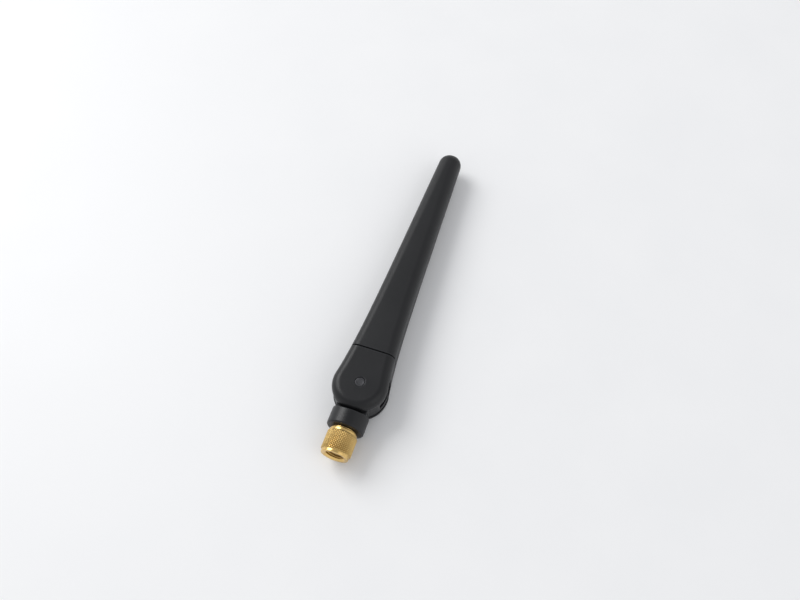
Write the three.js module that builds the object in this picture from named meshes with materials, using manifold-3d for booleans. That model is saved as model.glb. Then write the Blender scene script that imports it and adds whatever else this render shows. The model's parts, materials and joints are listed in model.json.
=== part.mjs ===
// Swivel blade antenna with a reverse-polarity SMA plug, lying flat on its back.
// Millimetres. +Y runs from the coupling nut to the blade's tip, +Z is up, off the wide face.
// Every piece is modelled round the antenna's centre line: its local Y is the distance from the
// nut's mating face, and its local Z is the height above the centre line.

import * as THREE from 'three';
import { mergeVertices } from 'three/addons/utils/BufferGeometryUtils.js';
import Module from 'manifold-3d';

const wasm = await Module();
wasm.setup();

// ---------------------------------------------------------------- driving dimensions

const LENGTH = 120; // nut's mating face to blade tip
const THICKNESS = 12; // knuckle, face to face

// Blade outline
const PIN_Y = 22.6; // hinge axis
const KNUCKLE_RADIUS = 8.7; // round end of the fork, about the hinge axis
const FLARE_ANGLE = THREE.MathUtils.degToRad(10); // where the round end runs into the blade's side
const TIP_HALF_WIDTH = 4.05;
const TIP_HALF_THICKNESS = 3.9;
const TIP_LENGTH = 4; // length of the rounded tip
const SIDE_TAPER = 0.0304; // half width lost per mm, away from the flare
const EDGE_RADIUS = 2.8; // rounding along the knuckle's edges and at the radome's root
const TIP_EDGE_RADIUS = 3.75;
const TIP_ROUNDNESS = 0.96; // edge radius over half width where the section is nearly round

// Radome and fork
const SEAM_Y = 34; // joint line between the fork and the radome
const SEAM_GAP = 0.3;
const RADOME_WALL = 1.35;
const PLUG_GAP = 0.2;
const PLUG_END_Y = 44;
const CHEEK_INNER_Z = 3.1; // half the fork's slot

// Hinge
const PIN_HEAD_RADIUS = 1.5;
const PIN_HEAD_HEIGHT = 1;
const PIN_SHANK_RADIUS = 1.1;
const PIN_RECESS = 0.15; // head below the cheek's face
const PIN_FIT = 0.05; // radial clearance of each pin
const PIN_INNER_Z = 1.45; // end of each stub pin, clear of the cable

// Elbow
const COLLAR_RADIUS = 5.85;
const COLLAR_BASE_Y = 8.6;
const COLLAR_EDGE = 0.6; // chamfer round the collar's base
const SADDLE_RADIUS = 24; // hollowed top of the collar, so that it clears the round end at any tilt
const SADDLE_CLEARANCE = 0.3;
const DISC_RADIUS = 8.4; // round end of the tongue, between the fork's cheeks
const DISC_CLEARANCE = 0.3;
const NECK_HALF_WIDTH = 4.9; // tongue between the collar and the disc
const NECK_CLEARANCE = 0.4;
const NECK_ROOT_Y = 12.6; // start of the neck, inside the collar
const TONGUE_HALF_THICKNESS = 2.8;
const CHAMBER_HALF_HEIGHT = 1.25; // gap between the tongue's two plates, where the cable bends
const CHAMBER_DEPTH = 3.5; // how far the gap reaches below the hinge axis
const CRIMP_ROOM_RADIUS = 1.9; // bore above the barrel, round the crimped end of the cable
const CRIMP_ROOM_END_Y = 15;

// Connector body
const REFERENCE_Y = 2.6; // face of the outer conductor, inside the nut
const FERRULE_RADIUS = 2.28;
const INSULATOR_RADIUS = 2.02;
const INSULATOR_START_Y = 2.9;
const INSULATOR_END_Y = 8.95;
const SHOULDER_RADIUS = 2.7;
const SHOULDER_START_Y = 5.4; // the gasket lies against this face
const FLANGE_RADIUS = 3.9;
const FLANGE_START_Y = 8.1;
const FLANGE_END_Y = 8.5;
const BARREL_RADIUS = 3;
const BARREL_END_Y = 11.6;
const BARREL_FIT = 0.06; // radial clearance of the barrel in the elbow
const BARREL_END_GAP = 0.3; // behind the barrel
const STUB_RADIUS = 0.7; // crimp stub at the back of the body
const STUB_BORE = 0.46;
const STUB_END_Y = 13.8;

// Centre contact: a slit socket, a shoulder behind the insulator, and a solder cup
const CONTACT_START_Y = 3;
const CONTACT_RADIUS = 0.635;
const CONTACT_BORE = 0.47;
const CONTACT_BORE_END_Y = 6.5;
const CONTACT_FIT = 0.04;
const SLIT_WIDTH = 0.2;
const SLIT_END_Y = 5.6;
const CONTACT_SHOULDER = { radius: 0.85, start: 7.2, end: 7.8 };
const SHOULDER_ROOM = { radius: 0.9, start: 7.1 };
const SOLDER_CUP = { radius: 0.4, bore: 0.2, start: 7.7, end: 8.8 };

// Rings on the connector, and the grooves that they snap into
const GASKET = { inner: 2.36, outer: 2.96, start: 4.75, end: 5.3 };
const NUT_RING = { inner: 2.42, outer: 3.18, start: 6.5, end: 6.9 };
const NUT_RING_GROOVE = { inner: 2.35, outer: 3.3, start: 6.4, end: 7 };
const SWIVEL_CLIP = { inner: 2.62, outer: 3.42, start: 10.1, end: 10.5 };
const SWIVEL_CLIP_GROOVE = { inner: 2.55, outer: 3.5, start: 10, end: 10.6 };
const CLIP_PLAY = 0.1; // at each side of the clip, in the elbow's groove
const RING_GAP = THREE.MathUtils.degToRad(24); // opening of the two spring rings
const CRIMP_FERRULE = { inner: 1.02, outer: 1.55, start: 11.75, end: 14.7 };

// Coupling nut
const NUT_LENGTH = 8;
const NUT_RADIUS = 4.7;
const NUT_RIM_RADIUS = 4.3;
const NUT_BORE = 3.05; // clear bore where the thread is cut
const NUT_LEAD_IN = 0.4; // chamfer at the mouth of the bore
const NUT_NECK_BORE = 2.85;
const NUT_NECK_START_Y = 5.6;
const KNURL_TEETH = 36;
const KNURL_DEPTH = 0.22;
const KNURL_START_Y = 0.9;
const KNURL_END_Y = 7.1;

// Cable, by layers: radii of a 1.8 mm coaxial cable, and where each layer is stripped
const JACKET_RADIUS = 0.9;
const JACKET_START_Y = 14.35;
const JACKET_END_Y = 70;
const BRAID_RADIUS = 0.68;
const BRAID_START_Y = 11.9;
const BRAID_END_Y = 72.4;
const BRAID_FLARE = { inner: 0.78, outer: 0.98, end: 13.95 }; // the braid's end, round the crimp stub
const DIELECTRIC_RADIUS = 0.42;
const DIELECTRIC_START_Y = 9.1;
const DIELECTRIC_END_Y = 73.4;
const CONDUCTOR_RADIUS = 0.15;
const CONDUCTOR_START_Y = 7.8;
const CONDUCTOR_END_Y = 76.5;
const LAYER_GAP = 0.03;
const CABLE_ROOM = 0.4; // radial, round the cable in the fork

// Dipole inside the radome
const SLEEVE_START_Y = 48;
const FEED_Y = 72; // closed end of the sleeve
const SLEEVE_RADIUS = 2.5;
const SLEEVE_WALL = 0.35;
const SPACER_DEPTH = 0.5; // how far the spacer is pushed into the sleeve's mouth
const SPACER_LENGTH = 3;
const RADIATOR_START_Y = 74.5;
const RADIATOR_END_Y = 100.5;
const RADIATOR_RADIUS = 1.2;
const RADIATOR_EDGE = 0.3; // chamfer at the radiator's free end
const SHRINK_WALL = 0.35;
const SHRINK_START_Y = 68.5;
const SHRINK_END_Y = 79.5;
const DIPOLE_FIT = 0.1; // radial clearance round the dipole's tubes
const FOAM_LENGTH = 6;
const FOAM_START_Y = [56, 93];
const FOAM_FIT = 0.25; // clearance of the foam in the radome

// Facets
const FINE = 24;
const COARSE = 16;
const CORNER_STEPS = 4; // facets in a quarter circle of the blade's edge
const CABLE_SIDES = 12;

const BEYOND = 20; // how far a cutting shape reaches, well past the piece that it cuts

// ---------------------------------------------------------------- solids

/** A closed geometry as a manifold-3d solid. */
function toSolid(geometry) {
  const bare = geometry.clone();
  bare.deleteAttribute('normal');
  bare.deleteAttribute('uv');
  const merged = mergeVertices(bare, 1e-4);
  const corners = merged.index.array;
  const triVerts = [];
  for (let i = 0; i < corners.length; i += 3) {
    const [a, b, c] = [corners[i], corners[i + 1], corners[i + 2]];
    if (a !== b && b !== c && c !== a) triVerts.push(a, b, c);
  }
  return new wasm.Manifold(new wasm.Mesh({
    numProp: 3,
    vertProperties: new Float32Array(merged.attributes.position.array),
    triVerts: new Uint32Array(triVerts),
  }));
}

/** A manifold-3d solid as a geometry. */
function toGeometry(solid) {
  const mesh = solid.getMesh();
  const geometry = new THREE.BufferGeometry();
  geometry.setAttribute('position', new THREE.BufferAttribute(mesh.vertProperties, 3));
  geometry.setIndex(new THREE.BufferAttribute(mesh.triVerts, 1));
  geometry.computeVertexNormals();
  return geometry;
}

/** The first geometry joined to the others. */
function join(first, ...others) {
  return toGeometry(others.reduce((solid, other) => solid.add(toSolid(other)), toSolid(first)));
}

/** The first geometry with the others cut away. */
function cut(first, ...others) {
  return toGeometry(others.reduce((solid, other) => solid.subtract(toSolid(other)), toSolid(first)));
}

/** A body turned about the centre line, from points [radius, y] on its outline. */
function turned(outline, sides = FINE) {
  return new THREE.LatheGeometry(outline.map(([radius, y]) => new THREE.Vector2(radius, y)), sides);
}

/** A solid cylinder on the centre line. */
function rod(radius, start, end, sides = FINE) {
  return turned([[0, start], [radius, start], [radius, end], [0, end]], sides);
}

/** A tube on the centre line. */
function tube({ inner, outer, start, end }, sides = FINE) {
  return turned([[inner, start], [outer, start], [outer, end], [inner, end], [inner, start]], sides);
}

/** A box between two corners. */
function block(low, high) {
  const size = high.map((value, axis) => value - low[axis]);
  const geometry = new THREE.BoxGeometry(...size);
  return geometry.translate(...high.map((value, axis) => (value + low[axis]) / 2));
}

/** A cylinder parallel to the hinge axis, between two heights. */
function post(radius, x, y, low, high, sides = FINE) {
  const geometry = new THREE.CylinderGeometry(radius, radius, high - low, sides);
  return geometry.rotateX(Math.PI / 2).translate(x, y, (low + high) / 2);
}

/** A flat plate of an outline in X and Y, between two heights. */
function plate(shape, low, high, curveSegments = COARSE) {
  const geometry = new THREE.ExtrudeGeometry(shape, {
    depth: high - low,
    bevelEnabled: false,
    curveSegments,
  });
  return geometry.translate(0, 0, low);
}

/** An open spring ring round the centre line. */
function openRing({ inner, outer, start, end }) {
  const from = RING_GAP / 2;
  const to = 2 * Math.PI - from;
  const shape = new THREE.Shape();
  shape.absarc(0, 0, outer, from, to, false);
  shape.absarc(0, 0, inner, to, from, true);
  shape.closePath();
  return plate(shape, -end, -start).rotateX(Math.PI / 2);
}

// ---------------------------------------------------------------- blade form

const JOIN_HALF_WIDTH = KNUCKLE_RADIUS * Math.cos(FLARE_ANGLE);
const JOIN_Y = PIN_Y + KNUCKLE_RADIUS * Math.sin(FLARE_ANGLE);
const TIP_START_Y = LENGTH - TIP_LENGTH;

/** Half width of the straight taper, without the flare at its root. */
function straightHalfWidth(y) {
  return TIP_HALF_WIDTH + SIDE_TAPER * (TIP_START_Y - y);
}

const FLARE = JOIN_HALF_WIDTH - straightHalfWidth(JOIN_Y);
const FLARE_LENGTH = FLARE / (Math.tan(FLARE_ANGLE) - SIDE_TAPER);

/** Half width of the blade above the round end; the flare meets the round end on its tangent. */
function halfWidth(y) {
  return straightHalfWidth(y) + FLARE * Math.exp((JOIN_Y - y) / FLARE_LENGTH);
}

/** How far along the radome a station lies: 0 at the seam, 1 where the tip starts to round off. */
function taperAt(y) {
  return THREE.MathUtils.clamp((y - SEAM_Y) / (TIP_START_Y - SEAM_Y), 0, 1);
}

/** Half thickness of the blade, which tapers from the seam to the tip. */
function halfThickness(y) {
  return THREE.MathUtils.lerp(THICKNESS / 2, TIP_HALF_THICKNESS, taperAt(y));
}

/** Half width, half thickness and edge radius of the blade, set in from its surface by inset. */
function section(y, inset) {
  const endY = LENGTH - inset;
  const roundLength = TIP_LENGTH - inset;
  const past = Math.max(0, (y - (endY - roundLength)) / roundLength);
  const shrink = Math.sqrt(Math.max(0, 1 - past * past));
  const plain = Math.min(y, TIP_START_Y);
  const width = (halfWidth(plain) - inset) * shrink;
  const thickness = (halfThickness(plain) - inset) * shrink;
  const edge = THREE.MathUtils.lerp(EDGE_RADIUS, TIP_EDGE_RADIUS, taperAt(y)) - inset / 2;
  return { width, thickness, radius: Math.min(edge, TIP_ROUNDNESS * Math.min(width, thickness)) };
}

/** A length of the blade with flat ends or, where it reaches the tip, a round one. */
function bladeSolid(stations, inset = 0) {
  const [first, last] = [stations[0], stations[stations.length - 1]];
  const outline = [[0, first], ...stations.map((y) => [1, y]), [0, last]];
  const geometry = turned(outline, 4 * (CORNER_STEPS + 1));
  const position = geometry.attributes.position;
  for (let i = 0; i < position.count; i++) {
    const onAxis = outline[i % outline.length][0] === 0;
    if (onAxis) continue;
    const ray = Math.floor(i / outline.length);
    const y = position.getY(i);
    const [x, z] = sectionPoint(ray, section(y, inset));
    position.setXYZ(i, x, y, z);
  }
  return geometry;
}

/** One corner of the section's outline: a rounded rectangle, corner by corner. */
function sectionPoint(ray, { width, thickness, radius }) {
  const quadrant = Math.floor(ray / (CORNER_STEPS + 1)) % 4;
  const step = ray % (CORNER_STEPS + 1);
  const angle = (quadrant + step / CORNER_STEPS) * (Math.PI / 2);
  const sideX = quadrant < 2 ? 1 : -1;
  const sideZ = quadrant === 0 || quadrant === 3 ? 1 : -1;
  return [
    sideX * (width - radius) + radius * Math.sin(angle),
    sideZ * (thickness - radius) + radius * Math.cos(angle),
  ];
}

/** Stations from start to the round tip, closer together where the outline curves. */
function stationsToTip(start, inset) {
  const flareSteps = 5;
  const shaftSteps = 5;
  const tipSteps = 5;
  const flareEnd = SEAM_Y + 2 * FLARE_LENGTH;
  const roundLength = TIP_LENGTH - inset;
  const roundStart = LENGTH - inset - roundLength;
  const stations = [];
  for (let i = 0; i < flareSteps; i++) {
    stations.push(THREE.MathUtils.lerp(start, flareEnd, i / flareSteps));
  }
  for (let i = 0; i < shaftSteps; i++) {
    stations.push(THREE.MathUtils.lerp(flareEnd, roundStart, i / shaftSteps));
  }
  for (let i = 0; i < tipSteps; i++) {
    stations.push(roundStart + roundLength * Math.sin((i / tipSteps) * (Math.PI / 2)));
  }
  stations.push(LENGTH - inset);
  return stations;
}

// ---------------------------------------------------------------- blade pieces

function radome() {
  const start = SEAM_Y + SEAM_GAP;
  const shell = bladeSolid(stationsToTip(start, 0));
  const hollow = bladeSolid(stationsToTip(start - 1, RADOME_WALL), RADOME_WALL);
  return cut(shell, hollow);
}

/** Outline of the knuckle in X and Y: round end, flare, and a square top above the seam. */
function knuckleOutline(top) {
  const flareSteps = 5;
  const shape = new THREE.Shape();
  shape.absarc(0, PIN_Y, KNUCKLE_RADIUS, Math.PI - FLARE_ANGLE, 2 * Math.PI + FLARE_ANGLE, false);
  for (let i = 1; i <= flareSteps; i++) {
    const y = THREE.MathUtils.lerp(JOIN_Y, top, i / flareSteps);
    shape.lineTo(halfWidth(y), y);
  }
  for (let i = flareSteps; i >= 1; i--) {
    const y = THREE.MathUtils.lerp(JOIN_Y, top, i / flareSteps);
    shape.lineTo(-halfWidth(y), y);
  }
  shape.closePath();
  return shape;
}

function hingeFork() {
  const overshoot = 2 * EDGE_RADIUS;
  const knuckle = new THREE.ExtrudeGeometry(knuckleOutline(SEAM_Y + overshoot), {
    depth: THICKNESS - 2 * EDGE_RADIUS,
    bevelThickness: EDGE_RADIUS,
    bevelSize: EDGE_RADIUS,
    bevelOffset: -EDGE_RADIUS,
    bevelSegments: CORNER_STEPS,
    curveSegments: COARSE,
  });
  knuckle.translate(0, 0, EDGE_RADIUS - THICKNESS / 2);
  const aboveSeam = block([-BEYOND, SEAM_Y, -BEYOND], [BEYOND, LENGTH, BEYOND]);
  const plugStations = [SEAM_Y - 1, (SEAM_Y + PLUG_END_Y) / 2, PLUG_END_Y];
  const plug = bladeSolid(plugStations, RADOME_WALL + PLUG_GAP);
  const neckRoom = PIN_Y + NECK_HALF_WIDTH + NECK_CLEARANCE;
  const slot = block([-BEYOND, 0, -CHEEK_INNER_Z], [BEYOND, neckRoom, CHEEK_INNER_Z]);
  const discRoom = post(DISC_RADIUS + DISC_CLEARANCE, 0, PIN_Y, -CHEEK_INNER_Z, CHEEK_INNER_Z, 2 * FINE);
  const cableBore = rod(JACKET_RADIUS + CABLE_ROOM, PIN_Y + DISC_RADIUS, PLUG_END_Y + 1, COARSE);
  const holes = [];
  for (const side of [-1, 1]) {
    holes.push(pinHole(side));
    holes.push(pinCounterbore(side));
  }
  return cut(join(cut(knuckle, aboveSeam), plug), slot, discRoom, cableBore, ...holes);
}

/** Heights from a to b on one side of the centre line, lowest first. */
function heights(side, a, b) {
  return side > 0 ? [a, b] : [-b, -a];
}

function pinHole(side) {
  return post(PIN_SHANK_RADIUS + PIN_FIT, 0, PIN_Y, ...heights(side, PIN_INNER_Z, THICKNESS));
}

function pinCounterbore(side) {
  const floor = THICKNESS / 2 - PIN_RECESS - PIN_HEAD_HEIGHT - PIN_FIT;
  return post(PIN_HEAD_RADIUS + PIN_FIT, 0, PIN_Y, ...heights(side, floor, THICKNESS));
}

function hingePin(side) {
  const headTop = THICKNESS / 2 - PIN_RECESS;
  const headBase = headTop - PIN_HEAD_HEIGHT;
  const shankEnd = headBase + PIN_HEAD_HEIGHT / 2;
  const head = post(PIN_HEAD_RADIUS, 0, PIN_Y, ...heights(side, headBase, headTop));
  const shank = post(PIN_SHANK_RADIUS, 0, PIN_Y, ...heights(side, PIN_INNER_Z, shankEnd));
  return join(head, shank);
}

/** Brass cup, closed at the feed, where the cable's braid is soldered to its rim. */
function dipoleSleeve() {
  const inner = SLEEVE_RADIUS - SLEEVE_WALL;
  const hole = BRAID_RADIUS + LAYER_GAP;
  return turned([
    [inner, SLEEVE_START_Y],
    [SLEEVE_RADIUS, SLEEVE_START_Y],
    [SLEEVE_RADIUS, FEED_Y],
    [hole, FEED_Y],
    [hole, FEED_Y - SLEEVE_WALL],
    [inner, FEED_Y - SLEEVE_WALL],
    [inner, SLEEVE_START_Y],
  ], COARSE);
}

function sleeveSpacer() {
  const outer = SLEEVE_RADIUS - SLEEVE_WALL - DIPOLE_FIT;
  const start = SLEEVE_START_Y + SPACER_DEPTH;
  const size = { inner: JACKET_RADIUS + DIPOLE_FIT, outer, start, end: start + SPACER_LENGTH };
  return tube(size, COARSE);
}

function upperRadiator() {
  const socket = CONDUCTOR_RADIUS + LAYER_GAP;
  const socketEnd = CONDUCTOR_END_Y + LAYER_GAP;
  return turned([
    [0, socketEnd],
    [socket, socketEnd],
    [socket, RADIATOR_START_Y],
    [RADIATOR_RADIUS, RADIATOR_START_Y],
    [RADIATOR_RADIUS, RADIATOR_END_Y - RADIATOR_EDGE],
    [RADIATOR_RADIUS - RADIATOR_EDGE, RADIATOR_END_Y],
    [0, RADIATOR_END_Y],
  ], COARSE);
}

/** Shrink tube over the end of the sleeve, necked down onto the upper radiator. */
function feedHeatShrink() {
  const sleeveInner = SLEEVE_RADIUS + DIPOLE_FIT;
  const rodInner = RADIATOR_RADIUS + DIPOLE_FIT;
  const neckStart = FEED_Y + SHRINK_WALL;
  const neckEnd = RADIATOR_START_Y + SHRINK_WALL;
  return turned([
    [sleeveInner, SHRINK_START_Y],
    [sleeveInner + SHRINK_WALL, SHRINK_START_Y],
    [sleeveInner + SHRINK_WALL, neckStart + SHRINK_WALL],
    [rodInner + SHRINK_WALL, neckEnd + SHRINK_WALL],
    [rodInner + SHRINK_WALL, SHRINK_END_Y],
    [rodInner, SHRINK_END_Y],
    [rodInner, neckEnd],
    [sleeveInner, neckStart],
    [sleeveInner, SHRINK_START_Y],
  ], COARSE);
}

/** Foam block that fills the radome's section round a part of the dipole. */
function foamSpacer(start, partRadius) {
  const end = start + FOAM_LENGTH;
  const filling = bladeSolid([start, end], RADOME_WALL + FOAM_FIT);
  return cut(filling, rod(partRadius + DIPOLE_FIT, start - 1, end + 1, COARSE));
}

// ---------------------------------------------------------------- elbow

/** Outline of the flat tongue in X and Y: a neck that starts inside the collar, and a round disc. */
function tongueOutline() {
  const neckAngle = Math.asin(NECK_HALF_WIDTH / DISC_RADIUS);
  const shape = new THREE.Shape();
  shape.moveTo(-NECK_HALF_WIDTH, NECK_ROOT_Y);
  shape.lineTo(NECK_HALF_WIDTH, NECK_ROOT_Y);
  shape.absarc(0, PIN_Y, DISC_RADIUS, neckAngle - Math.PI / 2, 1.5 * Math.PI - neckAngle, false);
  shape.closePath();
  return shape;
}

/** Cylinder with a chamfered base, hollowed on top to clear the fork's round end. */
function collar() {
  const roundEndY = PIN_Y - KNUCKLE_RADIUS;
  const saddleY = roundEndY - SADDLE_CLEARANCE + SADDLE_RADIUS;
  const blank = turned([
    [0, COLLAR_BASE_Y],
    [COLLAR_RADIUS - COLLAR_EDGE, COLLAR_BASE_Y],
    [COLLAR_RADIUS, COLLAR_BASE_Y + COLLAR_EDGE],
    [COLLAR_RADIUS, roundEndY + COLLAR_EDGE],
    [0, roundEndY + COLLAR_EDGE],
  ]);
  return cut(blank, post(SADDLE_RADIUS, 0, saddleY, -BEYOND, BEYOND, 2 * FINE));
}

/** Collar and tongue, bored for the connector, its clip, the crimped cable end and the hinge pins. */
function elbow() {
  const tongue = plate(tongueOutline(), -TONGUE_HALF_THICKNESS, TONGUE_HALF_THICKNESS);
  const barrelRoomEnd = BARREL_END_Y + BARREL_END_GAP;
  const barrelRoom = rod(BARREL_RADIUS + BARREL_FIT, COLLAR_BASE_Y - 1, barrelRoomEnd);
  const clip = SWIVEL_CLIP_GROOVE;
  const clipRoom = rod(clip.outer, clip.start - CLIP_PLAY, clip.end + CLIP_PLAY);
  const crimpRoom = rod(CRIMP_ROOM_RADIUS, BARREL_END_Y, CRIMP_ROOM_END_Y, COARSE);
  const cableRoom = rod(CHAMBER_HALF_HEIGHT, BARREL_END_Y, PIN_Y, COARSE);
  const chamber = block(
    [-BEYOND, PIN_Y - CHAMBER_DEPTH, -CHAMBER_HALF_HEIGHT],
    [BEYOND, PIN_Y + BEYOND, CHAMBER_HALF_HEIGHT],
  );
  const pinHoles = post(PIN_SHANK_RADIUS + PIN_FIT, 0, PIN_Y, -THICKNESS, THICKNESS);
  const solid = join(collar(), tongue);
  return cut(solid, barrelRoom, clipRoom, crimpRoom, cableRoom, chamber, pinHoles);
}

// ---------------------------------------------------------------- connector

function connectorBody() {
  const bore = INSULATOR_RADIUS + LAYER_GAP;
  const boreEnd = INSULATOR_END_Y + CONTACT_FIT;
  return turned([
    [bore, REFERENCE_Y],
    [FERRULE_RADIUS, REFERENCE_Y],
    [FERRULE_RADIUS, SHOULDER_START_Y],
    [SHOULDER_RADIUS, SHOULDER_START_Y],
    [SHOULDER_RADIUS, NUT_RING_GROOVE.start],
    [NUT_RING_GROOVE.inner, NUT_RING_GROOVE.start],
    [NUT_RING_GROOVE.inner, NUT_RING_GROOVE.end],
    [SHOULDER_RADIUS, NUT_RING_GROOVE.end],
    [SHOULDER_RADIUS, FLANGE_START_Y],
    [FLANGE_RADIUS, FLANGE_START_Y],
    [FLANGE_RADIUS, FLANGE_END_Y],
    [BARREL_RADIUS, FLANGE_END_Y],
    [BARREL_RADIUS, SWIVEL_CLIP_GROOVE.start],
    [SWIVEL_CLIP_GROOVE.inner, SWIVEL_CLIP_GROOVE.start],
    [SWIVEL_CLIP_GROOVE.inner, SWIVEL_CLIP_GROOVE.end],
    [BARREL_RADIUS, SWIVEL_CLIP_GROOVE.end],
    [BARREL_RADIUS, BARREL_END_Y],
    [STUB_RADIUS, BARREL_END_Y],
    [STUB_RADIUS, STUB_END_Y],
    [STUB_BORE, STUB_END_Y],
    [STUB_BORE, boreEnd],
    [bore, boreEnd],
    [bore, REFERENCE_Y],
  ]);
}

function connectorInsulator() {
  const bore = CONTACT_RADIUS + CONTACT_FIT;
  return turned([
    [bore, INSULATOR_START_Y],
    [INSULATOR_RADIUS, INSULATOR_START_Y],
    [INSULATOR_RADIUS, INSULATOR_END_Y],
    [SHOULDER_ROOM.radius, INSULATOR_END_Y],
    [SHOULDER_ROOM.radius, SHOULDER_ROOM.start],
    [bore, SHOULDER_ROOM.start],
    [bore, INSULATOR_START_Y],
  ]);
}

/** Socket contact: slit fingers in front, a shoulder, and a solder cup for the cable's conductor. */
function centreContact() {
  const socket = turned([
    [0, CONTACT_BORE_END_Y],
    [CONTACT_BORE, CONTACT_BORE_END_Y],
    [CONTACT_BORE, CONTACT_START_Y],
    [CONTACT_RADIUS, CONTACT_START_Y],
    [CONTACT_RADIUS, CONTACT_SHOULDER.start],
    [CONTACT_SHOULDER.radius, CONTACT_SHOULDER.start],
    [CONTACT_SHOULDER.radius, CONTACT_SHOULDER.end],
    [SOLDER_CUP.radius, CONTACT_SHOULDER.end],
    [SOLDER_CUP.radius, SOLDER_CUP.end],
    [SOLDER_CUP.bore, SOLDER_CUP.end],
    [SOLDER_CUP.bore, SOLDER_CUP.start],
    [0, SOLDER_CUP.start],
  ], COARSE);
  const half = SLIT_WIDTH / 2;
  const slitAcross = block([-BEYOND, 0, -half], [BEYOND, SLIT_END_Y, half]);
  const slitUpright = block([-half, 0, -BEYOND], [half, SLIT_END_Y, BEYOND]);
  return cut(socket, slitAcross, slitUpright);
}

/** Outline of the knurled grip across the centre line: one tooth and one gap at a time. */
function knurlOutline() {
  const points = [];
  for (let i = 0; i < 2 * KNURL_TEETH; i++) {
    const radius = i % 2 === 0 ? NUT_RADIUS : NUT_RADIUS - KNURL_DEPTH;
    const angle = (i / KNURL_TEETH) * Math.PI;
    points.push(new THREE.Vector2(radius * Math.cos(angle), radius * Math.sin(angle)));
  }
  return new THREE.Shape(points);
}

/** Knurled grip between two plain rims, bored for the thread, with a groove for its spring ring. */
function couplingNut() {
  const grip = plate(knurlOutline(), -KNURL_END_Y, -KNURL_START_Y).rotateX(Math.PI / 2);
  const rims = rod(NUT_RIM_RADIUS, 0, NUT_LENGTH);
  const bore = turned([
    [0, -1],
    [NUT_BORE + NUT_LEAD_IN, -1],
    [NUT_BORE + NUT_LEAD_IN, 0],
    [NUT_BORE, NUT_LEAD_IN],
    [NUT_BORE, NUT_NECK_START_Y],
    [NUT_NECK_BORE, NUT_NECK_START_Y],
    [NUT_NECK_BORE, NUT_RING_GROOVE.start],
    [NUT_RING_GROOVE.outer, NUT_RING_GROOVE.start],
    [NUT_RING_GROOVE.outer, NUT_RING_GROOVE.end],
    [NUT_NECK_BORE, NUT_RING_GROOVE.end],
    [NUT_NECK_BORE, NUT_LENGTH + 1],
    [0, NUT_LENGTH + 1],
  ]);
  return cut(join(grip, rims), bore);
}

// ---------------------------------------------------------------- cable

/** Braid with its lower end spread over the crimp stub. */
function coaxBraid() {
  const inner = DIELECTRIC_RADIUS + LAYER_GAP;
  const { inner: spreadInner, outer: spreadOuter, end: spreadEnd } = BRAID_FLARE;
  const slope = spreadOuter - BRAID_RADIUS;
  return turned([
    [spreadInner, BRAID_START_Y],
    [spreadOuter, BRAID_START_Y],
    [spreadOuter, spreadEnd],
    [BRAID_RADIUS, spreadEnd + slope],
    [BRAID_RADIUS, BRAID_END_Y],
    [inner, BRAID_END_Y],
    [inner, spreadEnd + slope],
    [spreadInner, spreadEnd],
    [spreadInner, BRAID_START_Y],
  ], CABLE_SIDES);
}

function coaxJacket() {
  const inner = BRAID_RADIUS + LAYER_GAP;
  const size = { inner, outer: JACKET_RADIUS, start: JACKET_START_Y, end: JACKET_END_Y };
  return tube(size, CABLE_SIDES);
}

function coaxDielectric() {
  const inner = CONDUCTOR_RADIUS + LAYER_GAP;
  const [start, end] = [DIELECTRIC_START_Y, DIELECTRIC_END_Y];
  return tube({ inner, outer: DIELECTRIC_RADIUS, start, end }, CABLE_SIDES);
}

function coaxConductor() {
  return rod(CONDUCTOR_RADIUS, CONDUCTOR_START_Y, CONDUCTOR_END_Y, CABLE_SIDES);
}

// ---------------------------------------------------------------- materials

const FINISHES = {
  blackPlastic: { color: 0x17181a, roughness: 0.5, metalness: 0 },
  goldPlating: { color: 0xc9a04a, roughness: 0.3, metalness: 1 },
  brass: { color: 0xb08d3f, roughness: 0.4, metalness: 1 },
  springSteel: { color: 0x9b9c9e, roughness: 0.35, metalness: 1 },
  ptfe: { color: 0xf1f0ec, roughness: 0.5, metalness: 0 },
  foam: { color: 0xd9dadc, roughness: 0.95, metalness: 0 },
  silicone: { color: 0xb5462f, roughness: 0.7, metalness: 0 },
  shrinkTube: { color: 0x222326, roughness: 0.6, metalness: 0 },
  cableJacket: { color: 0x8a5a34, roughness: 0.45, metalness: 0 },
  braid: { color: 0xb9bbbd, roughness: 0.4, metalness: 1 },
  copper: { color: 0xb87333, roughness: 0.35, metalness: 1 },
};

function piece(name, geometry, finish) {
  const mesh = new THREE.Mesh(geometry, new THREE.MeshStandardMaterial(FINISHES[finish]));
  mesh.name = name;
  return mesh;
}

// ---------------------------------------------------------------- assembly

const blade = new THREE.Group();
blade.add(
  piece('radome', radome(), 'blackPlastic'),
  piece('hinge_fork', hingeFork(), 'blackPlastic'),
  piece('hinge_pin_front', hingePin(1), 'springSteel'),
  piece('hinge_pin_back', hingePin(-1), 'springSteel'),
  piece('dipole_sleeve', dipoleSleeve(), 'brass'),
  piece('sleeve_spacer', sleeveSpacer(), 'ptfe'),
  piece('upper_radiator', upperRadiator(), 'brass'),
  piece('feed_heat_shrink', feedHeatShrink(), 'shrinkTube'),
  piece('lower_foam_spacer', foamSpacer(FOAM_START_Y[0], SLEEVE_RADIUS), 'foam'),
  piece('upper_foam_spacer', foamSpacer(FOAM_START_Y[1], RADIATOR_RADIUS), 'foam'),
  piece('coax_jacket', coaxJacket(), 'cableJacket'),
  piece('coax_braid', coaxBraid(), 'braid'),
  piece('coax_dielectric', coaxDielectric(), 'ptfe'),
  piece('coax_conductor', coaxConductor(), 'copper'),
);

const elbowGroup = new THREE.Group();
elbowGroup.add(piece('elbow', elbow(), 'blackPlastic'));

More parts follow.
